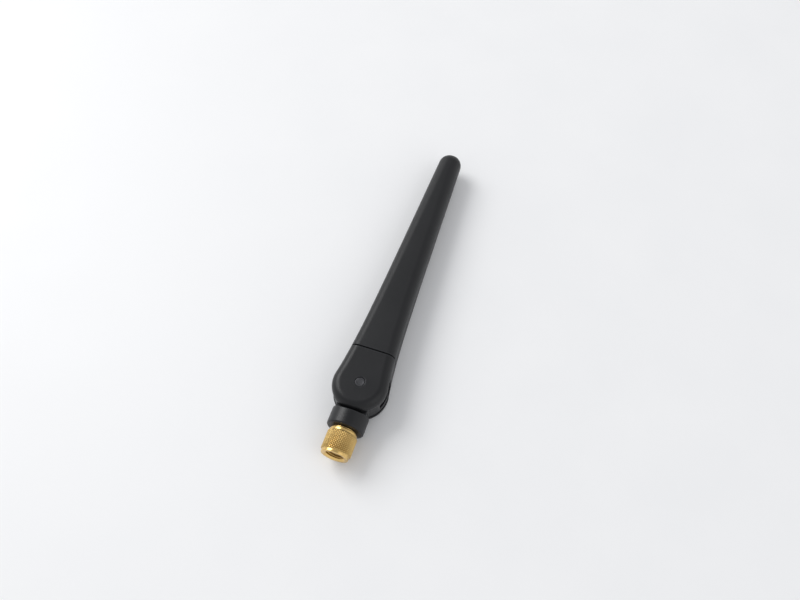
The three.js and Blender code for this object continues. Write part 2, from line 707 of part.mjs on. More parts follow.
const connector = new THREE.Group();
connector.add(
  piece('connector_body', connectorBody(), 'goldPlating'),
  piece('connector_insulator', connectorInsulator(), 'ptfe'),
  piece('centre_contact', centreContact(), 'goldPlating'),
  piece('gasket', tube(GASKET), 'silicone'),
  piece('nut_retaining_ring', openRing(NUT_RING), 'springSteel'),
  piece('swivel_clip', openRing(SWIVEL_CLIP), 'springSteel'),
  piece('crimp_ferrule', tube(CRIMP_FERRULE, COARSE), 'goldPlating'),
);

const nut = new THREE.Group();
nut.add(piece('coupling_nut', couplingNut(), 'goldPlating'));

const centreLine = new THREE.Group();
centreLine.position.set(0, -LENGTH / 2, THICKNESS / 2);
centreLine.add(blade, elbowGroup, connector, nut);

const antenna = new THREE.Group();
antenna.add(centreLine);

export default antenna;
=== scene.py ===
"""Looks of a swivel blade antenna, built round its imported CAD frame.

Shapes are worked out in millimetres round the antenna's centre line, as on a drawing: y is the distance
from the coupling nut's face towards the blade's tip, x runs across the blade and z up through its wide face.
Each piece is turned into metres in the frame's own place when its mesh is made.
"""

import json
import math

import bpy
import numpy as np
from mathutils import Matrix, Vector


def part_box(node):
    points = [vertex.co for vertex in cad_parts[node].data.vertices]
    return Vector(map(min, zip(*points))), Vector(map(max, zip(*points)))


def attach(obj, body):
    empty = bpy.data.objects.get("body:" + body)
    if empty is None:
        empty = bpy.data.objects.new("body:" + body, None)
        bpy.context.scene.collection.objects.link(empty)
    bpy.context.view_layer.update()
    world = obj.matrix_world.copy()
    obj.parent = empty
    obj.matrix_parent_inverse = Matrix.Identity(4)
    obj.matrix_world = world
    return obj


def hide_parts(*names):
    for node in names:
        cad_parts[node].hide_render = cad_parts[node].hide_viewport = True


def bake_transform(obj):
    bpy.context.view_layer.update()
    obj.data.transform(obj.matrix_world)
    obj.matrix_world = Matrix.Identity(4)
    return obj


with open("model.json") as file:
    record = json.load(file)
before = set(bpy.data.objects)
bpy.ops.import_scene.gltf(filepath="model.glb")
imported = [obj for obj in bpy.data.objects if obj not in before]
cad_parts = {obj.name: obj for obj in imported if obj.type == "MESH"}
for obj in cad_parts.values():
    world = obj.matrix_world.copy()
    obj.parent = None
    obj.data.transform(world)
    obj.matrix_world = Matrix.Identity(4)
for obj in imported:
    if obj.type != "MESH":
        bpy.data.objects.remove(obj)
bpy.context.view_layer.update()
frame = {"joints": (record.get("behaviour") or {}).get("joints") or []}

# -------- sizes read from the frame

MM = 0.001
FACE_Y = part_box("coupling_nut")[0].y  # plane of the nut's mating face
CENTRE_Z = sum(corner.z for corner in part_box("hinge_fork")) / 2  # height of the centre line


def span(node, axis):
    """Lowest and highest place of a CAD node along an axis, in mm round the centre line."""
    start = {"x": 0, "y": FACE_Y, "z": CENTRE_Z}[axis]
    return [(getattr(corner, axis) - start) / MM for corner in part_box(node)]


def joint_y(name):
    """Place of a joint along the centre line, in mm."""
    joint = next(joint for joint in frame["joints"] if joint["name"] == name)
    return (joint["pos_m"][1] - FACE_Y) / MM


def ring_of(node, wall):
    """Sizes of a turned ring, from its CAD node's box and its wall."""
    outer = span(node, "z")[1]
    start, end = span(node, "y")
    return outer - wall, outer, start, end


LENGTH = span("radome", "y")[1]
HALF_THICKNESS = span("hinge_fork", "z")[1]
PIN_Y = joint_y("elbow_tilt")
KNUCKLE_RADIUS = PIN_Y - span("hinge_fork", "y")[0]
RADOME_START_Y = span("radome", "y")[0]
PLUG_END_Y = span("hinge_fork", "y")[1]
PIN_INNER_Z, PIN_HEAD_Z = span("hinge_pin_front", "z")
PIN_HEAD_RADIUS = span("hinge_pin_front", "x")[1]
DISC_RADIUS = span("elbow", "y")[1] - PIN_Y
COLLAR_RADIUS = span("elbow", "z")[1]
COLLAR_BASE_Y = span("elbow", "y")[0]
NUT_LENGTH = span("coupling_nut", "y")[1]
NUT_RADIUS = span("coupling_nut", "x")[1]
REFERENCE_Y, STUB_END_Y = span("connector_body", "y")
FLANGE_RADIUS = span("connector_body", "x")[1]
INSULATOR_RADIUS = span("connector_insulator", "x")[1]
INSULATOR_START_Y, INSULATOR_END_Y = span("connector_insulator", "y")
CONTACT_START_Y, CONTACT_END_Y = span("centre_contact", "y")
CONTACT_SHOULDER_RADIUS = span("centre_contact", "x")[1]
SLEEVE_RADIUS = span("dipole_sleeve", "x")[1]
SLEEVE_START_Y, FEED_Y = span("dipole_sleeve", "y")
RADIATOR_RADIUS = span("upper_radiator", "x")[1]
RADIATOR_START_Y, RADIATOR_END_Y = span("upper_radiator", "y")
SHRINK_START_Y, SHRINK_END_Y = span("feed_heat_shrink", "y")
JACKET_RADIUS = span("coax_jacket", "x")[1]
BRAID_START_Y, BRAID_END_Y = span("coax_braid", "y")
BRAID_SPREAD_RADIUS = span("coax_braid", "x")[1]
DIELECTRIC_RADIUS = span("coax_dielectric", "x")[1]
CONDUCTOR_RADIUS = span("coax_conductor", "x")[1]
CONDUCTOR_END_Y = span("coax_conductor", "y")[1]

# -------- sizes of the detail

# Blade
FLARE_ANGLE = math.radians(10)  # where the round end runs into the blade's side
TIP_HALF_WIDTH = 4.05
TIP_HALF_THICKNESS = 3.9
TIP_LENGTH = 4
SIDE_TAPER = 0.0304  # half width lost per mm, away from the flare
EDGE_RADIUS = 2.8
TIP_EDGE_RADIUS = 3.75
TIP_ROUNDNESS = 0.96
SEAM_GAP = 0.3
RADOME_WALL = 1.35
PLUG_GAP = 0.2
LIP_RADIUS = 0.18  # broken edges along the seam

# Hinge
CHEEK_INNER_Z = 3.1
NECK_HALF_WIDTH = 4.9
NECK_ROOT_Y = 12.6
NECK_CLEARANCE = 0.4
TONGUE_HALF_THICKNESS = 2.8
DISC_CLEARANCE = 0.3
COLLAR_TOP_Y = 16  # where the collar would end without the hollow for the knuckle
COLLAR_EDGE = 0.6
SADDLE_RADIUS = 24
SADDLE_CLEARANCE = 0.3
BARREL_FIT = 0.06
BARREL_END_GAP = 0.3
CLIP_PLAY = 0.1
CRIMP_ROOM_RADIUS = 1.9
CRIMP_ROOM_END_Y = 15
CHAMBER_HALF_HEIGHT = 1.25
CHAMBER_DEPTH = 3.5
PLUG_ROOT = 1  # how far the plug's form runs on into the knuckle
PLUG_NOSE_EDGE = 0.4
TONGUE_FILLET = 0.4
SADDLE_EDGE = 0.35
CHAMBER_EDGE = 0.3
PIN_ROOM_EDGE = 0.12
PIN_FLOOR_EDGE = 0.1
PIN_SHANK_RADIUS = 1.1
PIN_HEAD_HEIGHT = 1
PIN_DISH_RIM = 0.45
PIN_DISH_DEPTH = 0.12
PIN_FIT = 0.05
PIN_HOLE_START_Z = 1  # inside the slot, so that the hole opens into it
MOULD_EDGE = 0.22  # broken edges of the moulded knuckle and elbow
SMALL_EDGE = 0.15  # the same in their bores and inner corners

# Connector
FERRULE_RADIUS = 2.28
SHOULDER_RADIUS = 2.7
SHOULDER_START_Y = 5.4
FLANGE_START_Y = 8.1
FLANGE_END_Y = 8.5
BARREL_RADIUS = 3
BARREL_END_Y = 11.6
STUB_RADIUS = 0.7
STUB_BORE = 0.46
NUT_RING_GROOVE = (2.35, 3.3, 6.4, 7.0)  # inner and outer radius, start and end
CLIP_GROOVE = (2.55, 3.5, 10.0, 10.6)
RING_GAP = math.radians(24)
RETAINING_RING_WALL = 0.76
CLIP_WALL = 0.8
GASKET_WALL = 0.6
CRIMP_WALL = 0.53
CRIMP_FLAT = 0.9  # half the width across the pressed flats, as a share of the radius
CRIMP_PLAIN_END = 0.4
CRIMP_RAMP = 0.2  # from a plain end to the full hexagon
SPACER_WALL = 1.05
INSULATOR_PLAY = 0.1
CONTACT_RADIUS = 0.635
CONTACT_BORE = 0.47
CONTACT_BORE_END_Y = 6.5
CONTACT_FIT = 0.04
CONTACT_SHOULDER_START_Y = 7.2
CONTACT_SHOULDER_END_Y = 7.8
SHOULDER_ROOM_RADIUS = 0.9
SHOULDER_ROOM_START_Y = 7.1
SOLDER_CUP_RADIUS = 0.4
SOLDER_CUP_BORE = 0.2
SOLDER_CUP_START_Y = 7.7
SLIT_WIDTH = 0.2
SLIT_END_Y = 5.6

# Coupling nut
NUT_RIM_RADIUS = 4.3
NUT_BORE = 3.05
NUT_NECK_BORE = 2.85
NUT_NECK_START_Y = 5.6
NUT_MOUTH_RADIUS = 3.45
KNURL_COUNT = 36  # diamonds round the nut
KNURL_DEPTH = 0.22
KNURL_END_STEP = 0.1  # where the knurl's chamfered ends start above the rims
KNURL_STEPS = 4  # mesh steps in half a diamond
NUT_COLUMNS = 2 * KNURL_STEPS * KNURL_COUNT
KNURL_START_Y = 0.9
KNURL_END_Y = NUT_LENGTH - KNURL_START_Y
KNURL_PITCH = 0.82  # length of a diamond along the nut
KNURL_SLOPE = 0.75  # share of the way from a groove to the next that is sloping
THREAD_PITCH = 0.7056
THREAD_CREST = 2.82
THREAD_ROOT = 3.17
THREAD_START_Y = 0.55
THREAD_END_Y = 4.5
THREAD_RUN_OUT = 0.3
THREAD_STEPS = 16  # mesh rows in one pitch
ROW_GAP = 0.05  # between the outline's rows and the knurl's or thread's first one

# Cable and dipole
BRAID_RADIUS = 0.68
BRAID_SPREAD_END_Y = 13.95
BRAID_SPREAD_WALL = 0.2
LAYER_GAP = 0.03
CABLE_ROOM = 0.4
SLEEVE_WALL = 0.35
SHRINK_WALL = 0.35
DIPOLE_FIT = 0.1
FOAM_FIT = 0.25
FOAM_EDGE = 0.3

# Fineness
CELL = 0.15  # mesh size of the elbow and the foam
FORK_CELL = 0.18
CONTACT_CELL = 0.05
LIP_ROWS = 5
BLADE_ROWS = 90
TIP_ROWS = 22
SETTLING_STEPS = 8  # steps that bring a moulded piece's points onto its surface
TURNED_SIDES = 96
CABLE_SIDES = 32
CABLE_ROW = 0.5  # longest step along the cable, so that it bends smoothly
SHARP_ANGLE = math.radians(40)  # edges sharper than this stay sharp
EDGE_DEPTH = 0.5  # how far in from an outer edge rubbing shows

# -------- mesh tools


def make_piece(name, points, faces, material, normals=None, smooth_angle=None, marks=None):
    """A mesh object in the row frame from points in mm round the centre line.

    marks are values from 0 to 1 at each point, which the materials read: edge on rubbed edges and
    hollow in grooves, where the metals paint shade.
    """
    points = np.asarray(points, float) * MM + (0, FACE_Y, CENTRE_Z)
    mesh = bpy.data.meshes.new(name)
    mesh.from_pydata(points.tolist(), [], faces)
    mesh.polygons.foreach_set("use_smooth", [True] * len(mesh.polygons))
    mesh.materials.append(material)
    mesh.update()
    if smooth_angle is not None:
        mesh.set_sharp_from_angle(angle=smooth_angle)
    if normals is not None:
        mesh.normals_split_custom_set_from_vertices(normals.tolist())
    for key, values in (marks or {}).items():
        mesh.attributes.new(key, "FLOAT", "POINT").data.foreach_set("value", np.asarray(values, np.float32))
    piece = bpy.data.objects.new(name, mesh)
    bpy.context.scene.collection.objects.link(piece)
    return piece


def rounded(outline, radius, steps=3, closed=True):
    """A turned outline, points (radius, y), with its corners rounded.

    A point's third number, if it has one, is that corner's own edge radius.
    """
    count = len(outline)
    result = []
    for i, corner in enumerate(outline):
        here = np.array(corner[:2], float)
        own = corner[2] if len(corner) > 2 else radius
        if (not closed and i in (0, count - 1)) or own == 0:
            result.append(here)
            continue
        before = np.array(outline[i - 1][:2], float) - here
        after = np.array(outline[(i + 1) % count][:2], float) - here
        result += corner_arc(here, before, after, own, steps)
    return [(max(point[0], 0), point[1]) for point in result]


def corner_arc(corner, before, after, radius, steps):
    """Points round one corner between its two sides, given as vectors away from it."""
    lengths = [np.linalg.norm(before), np.linalg.norm(after)]
    before, after = before / lengths[0], after / lengths[1]
    half = math.acos(np.clip(before @ after, -1, 1)) / 2
    if half > math.radians(85):
        return [corner]
    back = min(radius / math.tan(half), 0.45 * min(lengths))  # two corners share a side
    radius = back * math.tan(half)
    middle = (before + after) / np.linalg.norm(before + after)
    centre = corner + middle * radius / math.sin(half)
    first = corner + before * back - centre
    last = corner + after * back - centre
    arc = []
    for step in range(steps + 1):
        way = first * (1 - step / steps) + last * (step / steps)
        arc.append(centre + way / np.linalg.norm(way) * radius)
    return arc


def subdivided(outline, longest):
    """A closed outline with its long sides cut into steps."""
    result = []
    for i, start in enumerate(outline):
        end = outline[(i + 1) % len(outline)]
        pieces = max(1, math.ceil(math.dist(start, end) / longest))
        result += [
            tuple(np.array(start) + (np.array(end) - np.array(start)) * step / pieces)
            for step in range(pieces)
        ]
    return result


def turn(outline, sides=TURNED_SIDES, gap=0.0):
    """Points and faces of a closed outline turned about the centre line, all round or with a gap."""
    count = len(outline)
    columns = sides + 1 if gap else sides
    angles = [gap / 2 + (2 * math.pi - gap) * i / sides for i in range(columns)]
    radii = np.array([point[0] for point in outline])
    heights = np.array([point[1] for point in outline])
    points = np.concatenate([
        np.stack([radii * math.sin(a), heights, radii * math.cos(a)], 1) for a in angles
    ])
    faces = []
    for i in range(sides):
        near, far = i * count, ((i + 1) % columns) * count
        for j in range(count):
            k = (j + 1) % count
            faces.append((near + j, far + j, far + k, near + k))
    if gap:
        faces.append(tuple(range(count)))
        faces.append(tuple(reversed(range(sides * count, (sides + 1) * count))))
    return points, faces


def capped(columns, first_pole, last_pole):
    """Points and faces of a skin from columns of points all round it, closed by a point at each end."""
    sides, count = columns.shape[:2]
    points = np.concatenate([columns.reshape(-1, 3), [first_pole, last_pole]])
    faces = []
    for i in range(sides):
        near, far = i * count, ((i + 1) % sides) * count
        faces += [(near + j, far + j, far + j + 1, near + j + 1) for j in range(count - 1)]
        faces.append((sides * count, far, near))
        faces.append((sides * count + 1, near + count - 1, far + count - 1))
    return points, faces


def turn_solid(outline, sides=TURNED_SIDES):
    """A turned outline that starts and ends on the axis."""
    columns = turn(outline[1:-1], sides)[0].reshape(sides, -1, 3)
    return capped(columns, (0, outline[0][1], 0), (0, outline[-1][1], 0))


def machined(name, points, faces, material, marks=None):
    """A piece whose flat faces keep their flat shading up to their broken edges."""
    piece = make_piece(name, points, faces, material, smooth_angle=SHARP_ANGLE, marks=marks)
    piece.modifiers.new("flat faces", "WEIGHTED_NORMAL").keep_sharp = True
    return piece


def turned_piece(name, outline, material, gap=0.0):
    """A machined piece from its outline, which runs round the axis or starts and ends on it."""
    on_axis = outline[0][0] == 0
    points, faces = turn_solid(outline) if on_axis else turn(outline, gap=gap)
    return machined(name, points, faces, material)


# Distances: negative inside a shape, positive outside, in mm.


def both(a, b, radius=0.0):
    """Distance to what two shapes share, its outer edge rounded."""
    if np.isscalar(radius) and not radius:
        return np.maximum(a, b)
    corner = np.hypot(np.maximum(a + radius, 0), np.maximum(b + radius, 0))
    return np.minimum(np.maximum(a, b), -radius) + corner


def either(a, b, radius=0.0):
    """Distance to two shapes together, the inner corner between them filled."""
    return -both(-a, -b, radius)


def without(a, b, radius=0.0):
    """Distance to a shape with another cut out of it, the edge rounded."""
    return both(a, -b, radius)


def slopes(distance, points, step=0.01):
    """Direction in which the distance grows fastest at each point."""
    result = np.empty_like(points)
    for axis in range(3):
        ahead, behind = points.copy(), points.copy()
        ahead[:, axis] += step
        behind[:, axis] -= step
        result[:, axis] = distance(*ahead.T) - distance(*behind.T)
    return result / (2 * step)


def wrap(distance, low, high, cell):
    """Points, quads and normals of the surface where a distance is zero, and how near each is to an edge."""
    axes = [np.arange(a - 1.5 * cell, b + 2.5 * cell, cell) for a, b in zip(low, high)]
    inside = distance(*np.meshgrid(*axes, indexing="ij")) < 0
    near, far = slice(None, -1), slice(1, None)
    corners = [inside[a, b, c] for a in (near, far) for b in (near, far) for c in (near, far)]
    filled = np.sum(corners, axis=0)
    crossed = (filled > 0) & (filled < 8)
    number = np.full(crossed.shape, -1)
    number[crossed] = np.arange(crossed.sum())
    start = np.array([axis[0] for axis in axes])
    points = start + (np.argwhere(crossed) + 0.5) * cell
    quads = np.concatenate([quads_across(inside, number, axis) for axis in range(3)])
    for _ in range(SETTLING_STEPS):
        slope = slopes(distance, points)
        length = np.maximum(np.linalg.norm(slope, axis=1), 0.2)  # never quite flat
        move = np.clip(distance(*points.T) / length, -cell, cell)
        points -= (move / length)[:, None] * slope
    normals = slopes(distance, points)
    normals /= np.linalg.norm(normals, axis=1)[:, None]
    below = distance(*(points - EDGE_DEPTH * normals).T)
    edge = np.clip((below + EDGE_DEPTH) / EDGE_DEPTH, 0, 1)
    return points, quads.tolist(), normals, edge


def quads_across(inside, number, axis):
    """One quad for each grid edge along an axis that passes through the surface, facing out."""
    u, v = (axis + 1) % 3, (axis + 2) % 3
    lower = [slice(None)] * 3
    upper = [slice(None)] * 3
    lower[axis], upper[axis] = slice(None, -1), slice(1, None)
    start, end = inside[tuple(lower)], inside[tuple(upper)]
    edges = np.argwhere(start != end)
    leaving = start[tuple(edges.T)]
    ring = []
    for back_u, back_v in ((0, 0), (1, 0), (1, 1), (0, 1)):
        cell = edges.copy()
        cell[:, u] -= back_u
        cell[:, v] -= back_v
        ring.append(number[tuple(cell.T)])
    quads = np.stack(ring, 1)
    quads[~leaving] = quads[~leaving][:, ::-1]
    return quads


def moulded_piece(name, distance, low, high, material, cell=CELL):
    """A moulded piece from its distance function and the box it lies in."""
    points, quads, normals, edge = wrap(distance, low, high, cell)
    return make_piece(name, points, quads, material, normals, marks={"edge": edge})


def finish_piece(piece, body, node):
    """Puts a finished piece on its body, in the place of its CAD node."""
    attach(piece, body)
    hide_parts(node)


# -------- blade form

JOIN_HALF_WIDTH = KNUCKLE_RADIUS * math.cos(FLARE_ANGLE)
JOIN_Y = PIN_Y + KNUCKLE_RADIUS * math.sin(FLARE_ANGLE)
TIP_START_Y = LENGTH - TIP_LENGTH
SEAM_Y = RADOME_START_Y - SEAM_GAP


def straight_half_width(y):
    return TIP_HALF_WIDTH + SIDE_TAPER * (TIP_START_Y - y)


FLARE = JOIN_HALF_WIDTH - straight_half_width(JOIN_Y)
FLARE_LENGTH = FLARE / (math.tan(FLARE_ANGLE) - SIDE_TAPER)


def half_width(y):
    """Half width of the blade above its round end."""
    return straight_half_width(y) + FLARE * np.exp((JOIN_Y - y) / FLARE_LENGTH)


def taper_at(y):
    """How far a station is from the seam, 0, to the start of the round tip, 1."""
    return np.clip((y - SEAM_Y) / (TIP_START_Y - SEAM_Y), 0, 1)


def half_thickness(y):
    return HALF_THICKNESS + (TIP_HALF_THICKNESS - HALF_THICKNESS) * taper_at(y)


def section(y, inset):
    """Half width, half thickness and edge radius of the blade at a station, set in from its surface."""
    past = max(0.0, (y - TIP_START_Y) / (TIP_LENGTH - inset))
    shrink = math.sqrt(max(0.0, 1 - past * past))
    plain = min(y, TIP_START_Y)
    width = (half_width(plain) - inset) * shrink
    thickness = (half_thickness(plain) - inset) * shrink
    edge = EDGE_RADIUS + (TIP_EDGE_RADIUS - EDGE_RADIUS) * taper_at(y) - inset / 2
    return width, thickness, min(edge, TIP_ROUNDNESS * min(width, thickness))


def section_ring(y, inset, corner_steps=14):
    """Points round the blade's section, corner by corner, as seen against the run of the blade."""
    width, thickness, radius = section(y, inset)
    ring = []
    for quadrant, (side_x, side_z) in enumerate(((1, 1), (1, -1), (-1, -1), (-1, 1))):
        for step in range(corner_steps + 1):
            angle = (quadrant + step / corner_steps) * math.pi / 2
            x = side_x * (width - radius) + radius * math.sin(angle)
            z = side_z * (thickness - radius) + radius * math.cos(angle)
            ring.append((x, y, z))
    return ring


def radome(material):
    """Tapered shell with a round tip, open at the seam, with broken edges along its lip."""
    stations = np.linspace(RADOME_START_Y + 2 * LIP_RADIUS, TIP_START_Y, BLADE_ROWS)
    tip_angles = [step / TIP_ROWS * math.pi / 2 for step in range(1, TIP_ROWS)]
    lip_angles = [step / (LIP_ROWS - 1) * math.pi / 2 for step in range(LIP_ROWS)]
    lip = [
        (RADOME_START_Y + LIP_RADIUS * (1 - math.cos(a)), LIP_RADIUS * (1 - math.sin(a)))
        for a in lip_angles
    ]

    def surface(inset, lip_rows):
        """Rings up one surface of the wall, from its lip to its tip."""
        rings = [section_ring(y, lip_inset) for y, lip_inset in lip_rows]
        rings += [section_ring(y, inset) for y in stations]
        heights = [TIP_START_Y + (TIP_LENGTH - inset) * math.sin(a) for a in tip_angles]
        return rings + [section_ring(y, inset) for y in heights]

    inner = surface(RADOME_WALL, [(y, RADOME_WALL - inset) for y, inset in lip[:-1]])
    columns = np.array(inner[::-1] + surface(0, lip)).transpose(1, 0, 2)
    points, faces = capped(columns, (0, LENGTH - RADOME_WALL, 0), (0, LENGTH, 0))
    edge = np.zeros(columns.shape[:2])
    edge[:, len(inner) : len(inner) + LIP_ROWS] = 1
    marks = {"edge": np.append(edge, (0, 0))}
    return make_piece("radome_shell", points, faces, material, marks=marks)


# -------- hinge


def knuckle_outline(x, y):
    """Distance to the knuckle's outline in the plane of the blade: the round end and the flare above it."""
    rise = y - PIN_Y
    round_end = np.hypot(x, rise) - KNUCKLE_RADIUS
    slope = SIDE_TAPER + FLARE / FLARE_LENGTH * np.exp((JOIN_Y - y) / FLARE_LENGTH)
    side = (np.abs(x) - half_width(y)) / np.hypot(1, slope)
    return np.where(rise > np.abs(x) * math.tan(FLARE_ANGLE), side, round_end)


def blade_room(x, y, z, inset):
    """Distance to the blade's form, set in from its surface."""
    radius = EDGE_RADIUS + (TIP_EDGE_RADIUS - EDGE_RADIUS) * taper_at(y) - inset / 2
    across = np.abs(x) - half_width(y) + inset
    upright = np.abs(z) - half_thickness(y) + inset
    return both(across, upright, radius)


def plug(x, y, z):
    """Distance to the part of the fork that goes into the radome."""
    tube = blade_room(x, y, z, RADOME_WALL + PLUG_GAP)
    return both(both(tube, y - PLUG_END_Y, PLUG_NOSE_EDGE), SEAM_Y - PLUG_ROOT - y)


def pin_room(x, y, z):
    """Distance to the holes and counterbores of the two hinge pins."""
    reach = np.hypot(x, y - PIN_Y)
    hole = both(reach - PIN_SHANK_RADIUS - PIN_FIT, PIN_HOLE_START_Z - np.abs(z))
    floor = PIN_HEAD_Z - PIN_HEAD_HEIGHT - PIN_FIT
    counterbore = both(reach - PIN_HEAD_RADIUS - PIN_FIT, floor - np.abs(z), PIN_FLOOR_EDGE)
    return either(hole, counterbore)


def fork(x, y, z):
    """Distance to the hinge fork: knuckle, plug, slot for the tongue, and the cable's bore."""
    knuckle = both(knuckle_outline(x, y), np.abs(z) - HALF_THICKNESS, EDGE_RADIUS)
    knuckle = both(knuckle, y - SEAM_Y, LIP_RADIUS)
    solid = either(knuckle, plug(x, y, z), SMALL_EDGE)
    slot_depth = PIN_Y + NECK_HALF_WIDTH + NECK_CLEARANCE
    disc_room = np.hypot(x, y - PIN_Y) - DISC_RADIUS - DISC_CLEARANCE
    slot = both(np.abs(z) - CHEEK_INNER_Z, either(y - slot_depth, disc_room), SMALL_EDGE)
    solid = without(solid, slot, MOULD_EDGE)
    cable_bore = both(np.hypot(x, z) - JACKET_RADIUS - CABLE_ROOM, PIN_Y - y)
    solid = without(solid, cable_bore, SMALL_EDGE)
    return without(solid, pin_room(x, y, z), PIN_ROOM_EDGE)


def hinge_fork(material):
    low = (-KNUCKLE_RADIUS, PIN_Y - KNUCKLE_RADIUS, -HALF_THICKNESS)
    high = (KNUCKLE_RADIUS, PLUG_END_Y, HALF_THICKNESS)
    return moulded_piece("hinge_fork_moulding", fork, low, high, material, FORK_CELL)


def tongue(x, y, z):
    """Distance to the flat tongue of the elbow: its neck and its round disc."""
    disc = np.hypot(x, y - PIN_Y) - DISC_RADIUS
    neck = both(np.abs(x) - NECK_HALF_WIDTH, y - PIN_Y)
    outline = both(either(disc, neck, TONGUE_FILLET), NECK_ROOT_Y - y)
    return both(outline, np.abs(z) - TONGUE_HALF_THICKNESS, MOULD_EDGE)


def elbow_shape(x, y, z):
    """Distance to the elbow: collar with a hollowed top, tongue, connector bores and the cable's chamber."""
    from_axis = np.hypot(x, z)
    saddle_y = PIN_Y - KNUCKLE_RADIUS - SADDLE_CLEARANCE + SADDLE_RADIUS
    saddle = np.hypot(x, y - saddle_y) - SADDLE_RADIUS
    collar = both(from_axis - COLLAR_RADIUS, COLLAR_BASE_Y - y, COLLAR_EDGE)
    collar = without(both(collar, y - COLLAR_TOP_Y), saddle, SADDLE_EDGE)
    solid = either(collar, tongue(x, y, z), SMALL_EDGE)
    barrel_bore = both(from_axis - BARREL_RADIUS - BARREL_FIT, y - BARREL_END_Y - BARREL_END_GAP)
    _, groove_radius, groove_start, groove_end = CLIP_GROOVE
    groove_middle = (groove_start + groove_end) / 2
    groove_half = (groove_end - groove_start) / 2 + CLIP_PLAY
    clip_groove = both(from_axis - groove_radius, np.abs(y - groove_middle) - groove_half)
    crimp_room = both(from_axis - CRIMP_ROOM_RADIUS, y - CRIMP_ROOM_END_Y)
    cable_bore = both(from_axis - CHAMBER_HALF_HEIGHT, y - PIN_Y)
    rooms = either(either(barrel_bore, clip_groove), either(crimp_room, cable_bore))
    solid = without(solid, rooms, SMALL_EDGE)
    chamber = both(np.abs(z) - CHAMBER_HALF_HEIGHT, PIN_Y - CHAMBER_DEPTH - y, CHAMBER_EDGE)
    solid = without(solid, chamber, SMALL_EDGE)
    pin_hole = np.hypot(x, y - PIN_Y) - PIN_SHANK_RADIUS - PIN_FIT
    return without(solid, pin_hole, PIN_FLOOR_EDGE)


def elbow(material):
    low = (-DISC_RADIUS, COLLAR_BASE_Y, -COLLAR_RADIUS)
    high = (DISC_RADIUS, PIN_Y + DISC_RADIUS, COLLAR_RADIUS)
    return moulded_piece("elbow_moulding", elbow_shape, low, high, material)


def hinge_pin(name, side, material):
    """Stub pin with a shallow turned dish in its head, on one side of the hinge."""
    head_base = PIN_HEAD_Z - PIN_HEAD_HEIGHT
    outline = rounded([
        (0, PIN_INNER_Z),
        (PIN_SHANK_RADIUS, PIN_INNER_Z, 0.15),
        (PIN_SHANK_RADIUS, head_base, 0.05),
        (PIN_HEAD_RADIUS, head_base, 0.08),
        (PIN_HEAD_RADIUS, PIN_HEAD_Z, 0.14),
        (PIN_HEAD_RADIUS - PIN_DISH_RIM, PIN_HEAD_Z),
        (PIN_HEAD_RADIUS - PIN_DISH_RIM - SMALL_EDGE, PIN_HEAD_Z - PIN_DISH_DEPTH),
        (0, PIN_HEAD_Z - PIN_DISH_DEPTH),
    ], 0.1, steps=4, closed=False)
    points, faces = turn_solid(outline)
    x, rise, z = points.T
    upright = np.stack([x, PIN_Y - side * z, side * rise], 1)
    return machined(name, upright, faces, material)


# -------- connector


def connector_body(material):
    """Outer conductor, gasket seat, flange, swivel barrel and crimp stub, turned in one piece."""
    bore = INSULATOR_RADIUS + LAYER_GAP
    ring_floor, _, ring_start, ring_end = NUT_RING_GROOVE
    clip_floor, _, clip_start, clip_end = CLIP_GROOVE
    outline = rounded([
        (bore, REFERENCE_Y),
        (FERRULE_RADIUS, REFERENCE_Y, 0.08),
        (FERRULE_RADIUS, SHOULDER_START_Y),
        (SHOULDER_RADIUS, SHOULDER_START_Y, 0.1),
        (SHOULDER_RADIUS, ring_start),
        (ring_floor, ring_start),
        (ring_floor, ring_end),
        (SHOULDER_RADIUS, ring_end),
        (SHOULDER_RADIUS, FLANGE_START_Y),
        (FLANGE_RADIUS, FLANGE_START_Y, 0.1),
        (FLANGE_RADIUS, FLANGE_END_Y, 0.1),
        (BARREL_RADIUS, FLANGE_END_Y),
        (BARREL_RADIUS, clip_start),
        (clip_floor, clip_start),
        (clip_floor, clip_end),
        (BARREL_RADIUS, clip_end),
        (BARREL_RADIUS, BARREL_END_Y, 0.2),
        (STUB_RADIUS, BARREL_END_Y),
        (STUB_RADIUS, STUB_END_Y),
        (STUB_BORE, STUB_END_Y),
        (STUB_BORE, INSULATOR_END_Y + INSULATOR_PLAY),
        (bore, INSULATOR_END_Y + INSULATOR_PLAY),
    ], 0.05)
    return turned_piece("connector_body_turned", outline, material)


def connector_insulator(material):
    """White bush that holds the contact in the middle of the outer conductor."""
    bore = CONTACT_RADIUS + CONTACT_FIT
    outline = rounded([
        (bore, INSULATOR_START_Y),
        (INSULATOR_RADIUS, INSULATOR_START_Y, 0.12),
        (INSULATOR_RADIUS, INSULATOR_END_Y, 0.1),
        (SHOULDER_ROOM_RADIUS, INSULATOR_END_Y),
        (SHOULDER_ROOM_RADIUS, SHOULDER_ROOM_START_Y),
        (bore, SHOULDER_ROOM_START_Y),
    ], 0.05)
    return turned_piece("connector_insulator_turned", outline, material)


def rod(reach, y, radius, start, end, edge_radius=0.0):
    """Distance to a round rod along the centre line."""
    return both(reach - radius, np.maximum(start - y, y - end), edge_radius)


